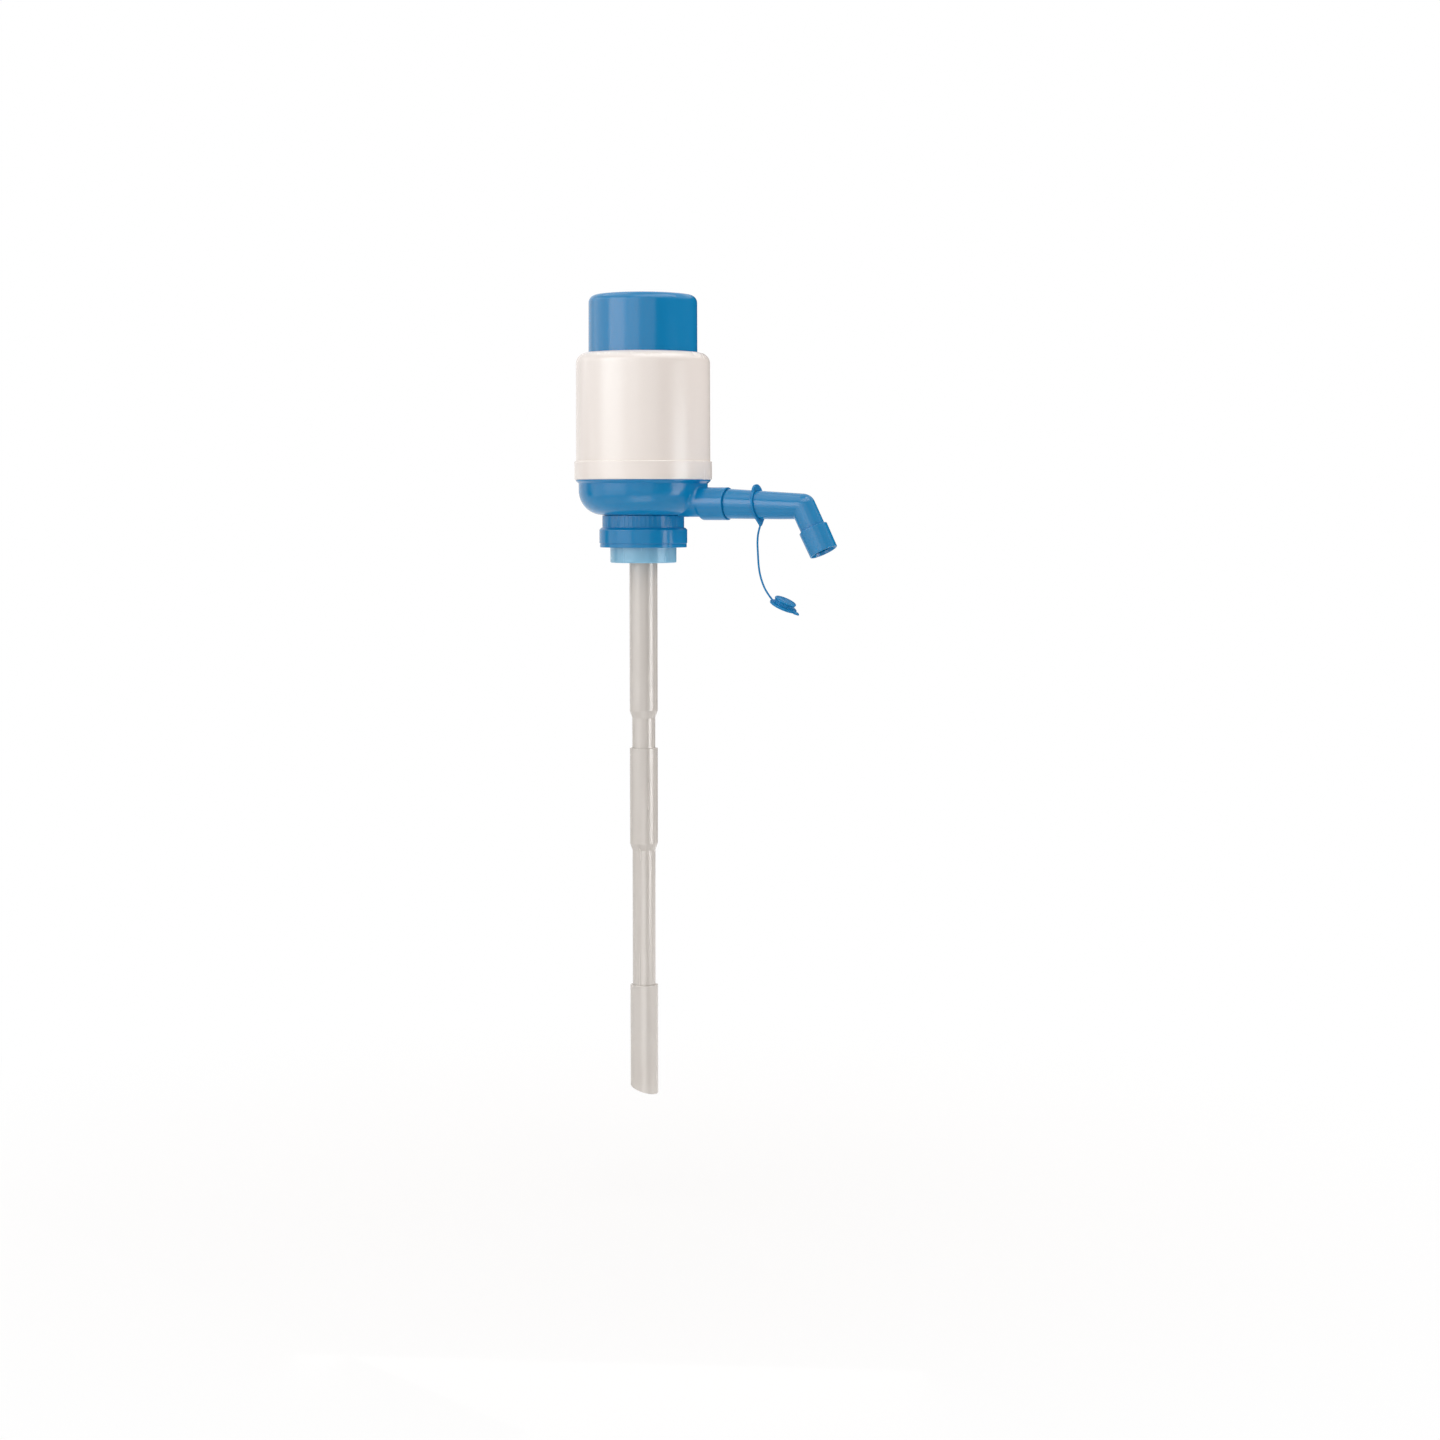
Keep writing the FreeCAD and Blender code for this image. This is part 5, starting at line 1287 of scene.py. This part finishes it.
        def notched(angle: np.ndarray, radius: np.ndarray, height: np.ndarray) -> tuple:
            """Lower the snap lip where the elbow's branch passes over it."""
            under = (np.abs(radius * np.sin(angle)) < self.branch_room) & (np.cos(angle) > 0)
            return radius, np.where(under, np.minimum(height, self.snap_level), height)

        wall = turned(rounded([
            (self.plug_bore, -self.plug_length, 0.3), (self.plug_radius, -self.plug_length, 0.7),
            (self.plug_radius, 0.0), (self.plug_radius - 0.2, 0.0, 0.05),
            (self.plug_radius - 0.2, lip, 0.05), (self.flange_radius, lip),
            (self.flange_radius, self.flange_top), (self.neck_radius, self.flange_top),
            (self.neck_radius, self.snap_level, 0.05),
            (self.neck_radius + self.snap_lip, self.snap_level, 0.1),
            (self.neck_radius, self.neck_top), (self.plug_bore, self.neck_top)]),
            sectors=240, shape=notched)
        hub = turned(rounded([
            (self.hub_bore, -self.hub_length, 0.3), (self.hub_radius, -self.hub_length, 0.3),
            (self.hub_radius, 0.0, 0.3), (self.hub_bore, 0.0, 0.3)]), sectors=96)
        skins = [wall, hub]
        turn = all_round(24)
        across = np.cos(turn) * square_reach(turn, 8) * self.spoke_width / 2
        along = np.sin(turn) * square_reach(turn, 8) * self.hub_length / 2 * 0.99
        inner, outer = (self.hub_bore + self.hub_radius) / 2, self.plug_bore + 0.6
        reach = np.array([inner, inner, (inner + outer) / 2, outer, outer])
        scale = np.array([0.0, 1.0, 1.0, 1.0, 0.0])
        for spot in all_round(3):
            out, side = ways_at(spot)
            path = out * reach[:, None] - UP * self.hub_length / 2
            skins.append(swept(path, side + 0 * path, UP + 0 * path, across, along, scale))
        return skins

    def build(self) -> list[bpy.types.Object]:
        """Make the nut and the plug and return them."""
        return [finished("nut", [self.nut(), self.thread(), *self.ribs()], Body.NUT, Slot.BLUE,
                         "neck_nut"),
                finished("plug", self.plug(), Body.BASE, Slot.PALE_BLUE, "neck_plug")]


@dataclass
class AirPump(Assembly):
    """Plunger, bellows and return spring."""

    bottom: float = 69.4
    top: float = 135.0
    radius: float = 31.2
    top_radius: float = 31.0
    crown: float = 1.9
    edge_round: float = 4.5
    flange_radius: float = 35.3
    flange_top: float = 71.8
    bore: float = 29.2
    ceiling: float = 131.4
    gate_radius: float = 2.2
    gate_depth: float = 0.15
    gate_edge: float = 0.12
    gate_middle: float = 0.9
    bellows_bottom: float = 39.4
    bellows_top: float = 124.2
    peak: float = 27.5
    valley: float = 22.9
    wall: float = 1.3
    folds: int = 10
    fold_round: float = 0.9
    cuff_bore: float = 25.85
    cuff_radius: float = 27.25
    cuff_height: float = 5.0
    top_cuff_height: float = 7.0
    cuff_web: float = 1.4
    spring_radius: float = 10.6
    wire_radius: float = 0.7
    spring_turns: int = 11
    spring_gap: float = 0.05
    stroke: float = 28.0

    def plunger(self) -> Skin:
        """Turn the plunger's cup.

        Its top is part of a ball, z = top - (s - sqrt(s^2 - r^2)) with s from the crown, and
        has the small sunk ring that the tool's gate leaves.

        Returns:
            The cup's closed wall.
        """
        shoulder = self.top - self.crown
        ball = (self.top_radius**2 + self.crown**2) / (2 * self.crown)
        spread = np.concatenate([[0.0], np.linspace(0.5, 3.5, 16),
                                 np.linspace(4.5, self.top_radius - 5.5, 12)])
        sunk = self.gate_depth / (1 + np.exp((spread - self.gate_radius) / self.gate_edge))
        sunk = sunk * (1 - np.exp(-(spread / self.gate_middle)**4))
        dome = self.top - (ball - np.sqrt(ball**2 - spread**2)) - sunk
        side = rounded([
            (spread[-1], dome[-1]), (self.top_radius, shoulder, self.edge_round),
            (self.radius, self.flange_top, 0.5), (self.flange_radius, self.flange_top, 0.4),
            (self.flange_radius, self.bottom, 0.4), (self.bore, self.bottom, 0.3),
            (self.bore, self.ceiling, 2.2), (0.0, self.ceiling)], loop=False, steps=12)
        return turned(side.after(spread[:-1], dome[:-1]), sectors=256)

    def bellows(self) -> Skin:
        """Turn the bellows' wall: a zigzag of rounded folds between two plain cuffs.

        The top cuff is the taller one, so that the hoop in it stays clear of the folds when
        they are pressed together.

        Returns:
            The bellows' closed wall.
        """
        start = self.bellows_bottom + self.cuff_height
        end = self.bellows_top - self.top_cuff_height
        pitch = (end - start) / self.folds
        peaks = start + (np.arange(self.folds) + 0.5) * pitch
        valleys = start + np.arange(1, self.folds) * pitch
        outer = [(self.cuff_radius, self.bellows_bottom), (self.cuff_radius, start),
                 (self.valley, start, 0.5)]
        inner = [(self.cuff_bore, self.bellows_top), (self.cuff_bore, end + self.cuff_web),
                 (self.valley - self.wall, end + self.cuff_web)]
        for peak, valley in zip(peaks, [*valleys, end]):
            outer += [(self.peak, peak, self.fold_round), (self.valley, valley, self.fold_round)]
        for peak, valley in zip(peaks[::-1], [*valleys[::-1], start]):
            inner += [(self.peak - self.wall, peak, self.fold_round / 2),
                      (self.valley - self.wall, valley, self.fold_round)]
        inner[-1] = (self.valley - self.wall, start - self.cuff_web)
        return turned(rounded([
            *outer, (self.cuff_radius, end), (self.cuff_radius, self.bellows_top), *inner,
            (self.cuff_bore, start - self.cuff_web), (self.cuff_bore, self.bellows_bottom)],
            steps=4), sectors=160)

    def spring(self) -> Skin:
        """Carry the wire's circle along a helix.

        Returns:
            The spring's surface, closed at both ends.
        """
        low = self.bellows_bottom + self.wire_radius + self.spring_gap
        high = self.bellows_top - self.wire_radius - self.spring_gap
        turn = np.linspace(0, 2 * np.pi * self.spring_turns, 48 * self.spring_turns)
        out = np.stack([np.cos(turn), np.sin(turn), 0 * turn], axis=1)
        path = self.spring_radius * out
        path[:, 2] = low + (high - low) * turn / turn[-1]
        along = np.gradient(path, axis=0)
        rise = unit(np.cross(out, unit(along)))
        circle = all_round(14)
        scale = np.ones(len(turn))
        scale[[0, -1]] = 0.0
        return swept(path, out, rise, self.wire_radius * np.cos(circle),
                     self.wire_radius * np.sin(circle), scale)

    def build(self) -> list[bpy.types.Object]:
        """Make the plunger, the bellows and the spring, which the plunger presses together.

        Returns:
            The three pieces.
        """
        plunger = finished("plunger", [self.plunger()], Body.PLUNGER, Slot.BLUE, "plunger_cap")
        bellows = finished("bellows_skin", [self.bellows()], Body.BASE, Slot.RUBBER, "bellows")
        spring = finished("spring_coil", [self.spring()], Body.BASE, Slot.STEEL, "return_spring")
        for piece in (bellows, spring):
            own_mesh(piece)
        return [plunger, bellows, spring]


@dataclass
class DipTube(Assembly):
    """Three sections of tube, each pushed into the next one."""

    wide: float = 8.05
    wide_bore: float = 6.7
    narrow: float = 6.65
    narrow_bore: float = 5.4
    taper: float = 4.0
    spigot: float = 22.0
    upper_top: float = -4.0
    upper_shoulder: float = -104.0
    middle_top: float = -125.4
    middle_shoulder: float = -180.8
    foot_top: float = -263.3
    foot_bottom: float = -327.2
    cut: float = 18.0

    def section(self, top: float, shoulder: float, end: float) -> Skin:
        """Turn a section: a wide top, a taper and a narrow end that enters the next one.

        Args:
            top: Height of the wide end.
            shoulder: Height at which the taper starts.
            end: Top of the next section, which the narrow end enters.

        Returns:
            The section's closed wall.
        """
        tip, low = end - self.spigot, shoulder - self.taper
        return turned(rounded([
            (self.narrow_bore, tip), (self.narrow, tip, 0.3), (self.narrow, low, 2.0),
            (self.wide, shoulder, 2.0), (self.wide, top, 0.3), (self.wide_bore, top, 0.3),
            (self.wide_bore, shoulder, 2.0), (self.narrow_bore, low, 2.0)]), sectors=128)

    def foot(self) -> Skin:
        """Turn the foot, and lift its lower end to the slanting cut.

        Returns:
            The foot's closed wall.
        """
        slant = np.tan(np.radians(self.cut))
        middle = (self.foot_top + self.foot_bottom) / 2

        def cut(angle: np.ndarray, radius: np.ndarray, height: np.ndarray) -> tuple:
            """Lift points near the bottom by slope * (wide radius - x)."""
            share = np.clip((middle - height) / (middle - self.foot_bottom), 0, 1)
            return radius, height + share * slant * (self.wide - radius * np.cos(angle))

        return turned(rounded([
            (self.wide_bore, self.foot_bottom, 0.25), (self.wide, self.foot_bottom, 0.25),
            (self.wide, middle, 0.0), (self.wide, self.foot_top, 0.3),
            (self.wide_bore, self.foot_top, 0.3), (self.wide_bore, middle, 0.0)]),
            sectors=128, shape=cut)

    def build(self) -> list[bpy.types.Object]:
        """Make the three sections and return them."""
        upper = self.section(self.upper_top, self.upper_shoulder, self.middle_top)
        middle = self.section(self.middle_top, self.middle_shoulder, self.foot_top)
        return [finished("tube_upper", [upper], Body.BASE, Slot.TUBE, "dip_tube_upper"),
                finished("tube_middle", [middle], Body.BASE, Slot.TUBE, "dip_tube_middle"),
                finished("tube_foot", [self.foot()], Body.BASE, Slot.TUBE, "dip_tube_foot")]


@dataclass
class InnerParts(Assembly):
    """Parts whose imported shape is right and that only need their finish."""

    slots: tuple[tuple[str, Slot], ...] = (
        ("neck_gasket", Slot.WHITE_SEAL), ("plate_seal", Slot.WHITE_SEAL),
        ("valve_plate", Slot.WHITE), ("delivery_valve", Slot.SILICONE),
        ("intake_valve", Slot.SILICONE), ("bellows_lower_hoop", Slot.WHITE),
        ("bellows_upper_hoop", Slot.WHITE), ("bellows_top_seat", Slot.WHITE),
        ("water_elbow", Slot.PALE_BLUE), ("elbow_seal", Slot.BLACK_SEAL),
        ("spout_seal", Slot.BLACK_SEAL))

    def build(self) -> list[bpy.types.Object]:
        """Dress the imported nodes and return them."""
        for name, slot in self.slots:
            dress(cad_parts[name], slot)
        return [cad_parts[name] for name, _ in self.slots]


# Studio

# The point that every panel faces, in metres.
PUMP_MIDDLE = np.array([0.02, 0.0, 0.02])


@dataclass(frozen=True)
class Panel:
    """A rectangle that faces the pump: a soft box, or a card that only reflections see.

    Attributes:
        name: Its name.
        side: Degrees to the right of the camera, seen from the pump.
        rise: Degrees above the level.
        size: Width and height in metres.
        bright: Its brightness, where 1 is the brightness of white.
        distance: Metres from the pump.
    """

    name: str
    side: float
    rise: float
    size: tuple[float, float]
    bright: float
    distance: float = 1.3

    def place(self, azimuth: float) -> Matrix:
        """Place the panel with its -Z towards the pump.

        Args:
            azimuth: The camera's angle round the pump, in degrees.

        Returns:
            The panel's place.
        """
        turn, lift = np.radians(azimuth + self.side), np.radians(self.rise)
        way = -ways_at(turn)[1] * np.cos(lift) + UP * np.sin(lift)
        return facing(PUMP_MIDDLE + way * self.distance, PUMP_MIDDLE)


SOFT_BOXES = (
    Panel("top_box", -20.0, 68.0, (1.2, 1.2), 0.81),
    Panel("left_box", -62.0, 6.0, (0.9, 1.3), 0.3),
    Panel("right_box", 112.0, 8.0, (1.0, 1.4), 0.99),
    Panel("back_box", 180.0, 20.0, (1.2, 1.2), 0.9),
)

CARDS = (
    Panel("left", -55.0, 18.0, (0.9, 0.7), 7.1),
    Panel("left_back", -98.0, 18.0, (1.2, 0.7), 2.3),
    Panel("front", -22.0, 18.0, (0.7, 0.7), 4.2),
    Panel("right_front", 8.0, 18.0, (0.9, 0.7), 2.0),
    Panel("lower_left", -50.0, -10.0, (1.0, 0.58), 2.8),
    Panel("lower_left_back", -87.0, -10.0, (0.68, 0.58), 1.9),
    Panel("lower_front", -4.0, -10.0, (1.0, 0.58), 1.2),
    Panel("lower_right", 67.0, -10.0, (0.64, 0.58), 7.2),
    Panel("low_left", -50.0, -42.0, (0.54, 0.28), 1.5, distance=0.5),
    Panel("low_front", -5.0, -42.0, (0.3, 0.28), 3.8, distance=0.5),
    Panel("top_left_back", -110.0, 60.0, (1.0, 0.7), 2.7),
    Panel("top_left_front", -50.0, 60.0, (1.0, 0.7), 2.7),
    Panel("top_right_front", 10.0, 60.0, (1.0, 0.7), 5.2),
    Panel("top_right_back", 70.0, 60.0, (1.0, 0.7), 5.2),
)


@dataclass
class Studio:
    """Camera, floor, sky, dark cloth, glowing cards and soft boxes."""

    azimuth: float = 26.7
    distance: float = 1600.0
    right: float = 44.02
    camera_height: float = 10.85
    aim_height: float = -109.45
    focal_pixels: float = 2780.8
    frame_pixels: float = 1440.0
    sensor: float = 36.0
    floor_level: float = -391.0
    floor_colour: Colour = (240, 240, 240)
    sky: float = 0.71
    flag_start: float = -118.0
    flag_end: float = 178.0
    flag_distance: float = 1500.0
    flag_height: float = 1500.0
    warm: tuple[float, float, float] = (1.0, 0.965, 0.945)

    def camera(self) -> None:
        """Place the camera on its azimuth and aim it at a point of the view's middle line."""
        right, away = ways_at(np.radians(self.azimuth))
        middle = right * self.right
        data = bpy.data.cameras.new("camera")
        data.sensor_width = self.sensor
        data.lens = self.focal_pixels / self.frame_pixels * self.sensor
        data.clip_start, data.clip_end = 0.01, 50.0
        camera = put(data)
        camera.matrix_world = facing(
            (middle - away * self.distance + UP * self.camera_height) * MM,
            (middle + UP * self.aim_height) * MM)
        bpy.context.scene.camera = camera

    def soft_box(self, panel: Panel) -> None:
        """Hang a lamp that gives light and isn't mirrored.

        A rectangular lamp of one watt is a quarter as bright as white for each square metre.

        Args:
            panel: Its place, size and brightness.
        """
        data = bpy.data.lights.new(panel.name, "AREA")
        data.shape = "RECTANGLE"
        data.size, data.size_y = panel.size
        data.energy = 4 * panel.bright * panel.size[0] * panel.size[1]
        data.color = self.warm
        hung = put(data)
        hung.matrix_world = panel.place(self.azimuth)
        hung.visible_camera = hung.visible_glossy = False

    def cards(self) -> None:
        """Hang the glowing cards, which only reflections see, as one mesh.

        Each card's corners are its place times half its width and height, and the attribute
        "glow" holds its brightness.
        """
        corners = np.array([[-1.0, -1.0], [1.0, -1.0], [1.0, 1.0], [-1.0, 1.0]]) / 2
        size = np.array([card.size for card in CARDS])
        place = np.array([card.place(self.azimuth) for card in CARDS])
        flat = corners[None] * size[:, None]
        points = np.einsum("kij,kcj->kci", place[:, :3, :2], flat) + place[:, None, :3, 3]
        mesh = bpy.data.meshes.new("cards")
        mesh.from_pydata(points.reshape(-1, 3).tolist(), [],
                         np.arange(4 * len(CARDS)).reshape(-1, 4).tolist())
        glow = mesh.attributes.new("glow", "FLOAT", "POINT")
        glow.data.foreach_set("value", np.repeat([card.bright for card in CARDS], 4))
        made, web = new_material("glowing_card")
        bright = web.add("Attribute", {"attribute_name": "glow"}).outputs["Fac"]
        light = web.add("Emission", Strength=bright)
        web.add("OutputMaterial", Surface=light.outputs[0])
        made.cycles.emission_sampling = "NONE"
        mesh.materials.append(made)
        self.only_mirrored(put(mesh))

    def only_mirrored(self, piece: bpy.types.Object) -> None:
        """Let only reflections see a piece of the studio."""
        piece.visible_camera = piece.visible_diffuse = piece.visible_shadow = False
        piece.visible_transmission = False

    def flag(self) -> None:
        """Stand a dark curved cloth behind the cards, which only reflections see.

        A flat section is carried along an arc round the pump.
        """
        turn = np.radians(self.azimuth + np.linspace(self.flag_start, self.flag_end, 72))
        way = np.stack([np.sin(turn), -np.cos(turn), 0 * turn], axis=1)
        scale = np.ones(len(turn))
        scale[[0, -1]] = 0.0
        card = swept(way * self.flag_distance, way, way * 0 + UP,
                     np.array([-2.0, 2.0, 2.0, -2.0]),
                     np.array([-1.0, -1.0, 1.0, 1.0]) * self.flag_height / 2, scale)
        flag = write_mesh("flag", [card])
        made, web = new_material("dark_cloth")
        cloth = web.add("BsdfDiffuse", Color=(0.02, 0.02, 0.02, 1.0))
        web.add("OutputMaterial", Surface=cloth.outputs[0])
        flag.data.materials.append(made)
        self.only_mirrored(flag)

    def floor(self) -> None:
        """Lay a round floor that keeps the pump's shadow and fades into the white round it."""
        angle = all_round(96)
        reach = np.array([0.0, 600.0, 1500.0, 3000.0])[:, None]
        points = UPRIGHT.place(reach * np.cos(angle), reach * np.sin(angle),
                               self.floor_level + 0 * reach)
        floor = write_mesh("floor", [Skin(points, np.zeros(points.shape[:2]), False)])
        made, web = new_material("pale_floor")
        place = web.add("TexCoord").outputs["Object"]
        spread = web.add("VectorMath", {"operation": "LENGTH"}, slot_0=place).outputs["Value"]
        far = web.stretch(spread, 0.12, 0.75, 0.4, 1.0)
        far.node.interpolation_type = "SMOOTHSTEP"
        matt = web.add("BsdfPrincipled", Base_Color=linear(self.floor_colour), Roughness=0.75)
        white = web.add("Emission", Strength=1.0)
        blend = web.add("MixShader", slot_0=web.maths("MULTIPLY", far, seen_rays(web)),
                        slot_1=matt.outputs[0], slot_2=white.outputs[0])
        web.add("OutputMaterial", Surface=blend.outputs[0])
        floor.data.materials.append(made)

    def world(self) -> None:
        """Light the pump from all round, and show plain white behind it."""
        world = bpy.data.worlds.new("studio")
        world.use_nodes = True
        web = Web(world.node_tree)
        soft = web.add("Background", Color=(*self.warm, 1.0), Strength=self.sky)
        white = web.add("Background", Color=(1.0, 1.0, 1.0, 1.0), Strength=1.0)
        blend = web.add("MixShader", slot_0=seen_rays(web), slot_1=soft.outputs[0],
                        slot_2=white.outputs[0])
        web.add("OutputWorld", Surface=blend.outputs[0])
        bpy.context.scene.world = world

    def build(self) -> None:
        """Set up the camera, the floor, the sky, the cloth, the cards and the soft boxes."""
        self.camera()
        self.floor()
        self.world()
        self.flag()
        self.cards()
        for panel in SOFT_BOXES:
            self.soft_box(panel)
        bpy.context.scene.view_settings.view_transform = "Standard"


def main() -> None:
    """Build the studio and every sub-assembly, and report each piece."""
    logging.basicConfig(level=logging.INFO, format="%(name)s: %(message)s")
    Studio().build()
    for assembly in (Tether(), Spout(), Housing(), NeckFitting(), AirPump(), DipTube(),
                     InnerParts()):
        for piece in assembly.build():
            LOG.info("%s: %s", type(assembly).__name__, piece.name)


if __name__ == "__main__":
    main()
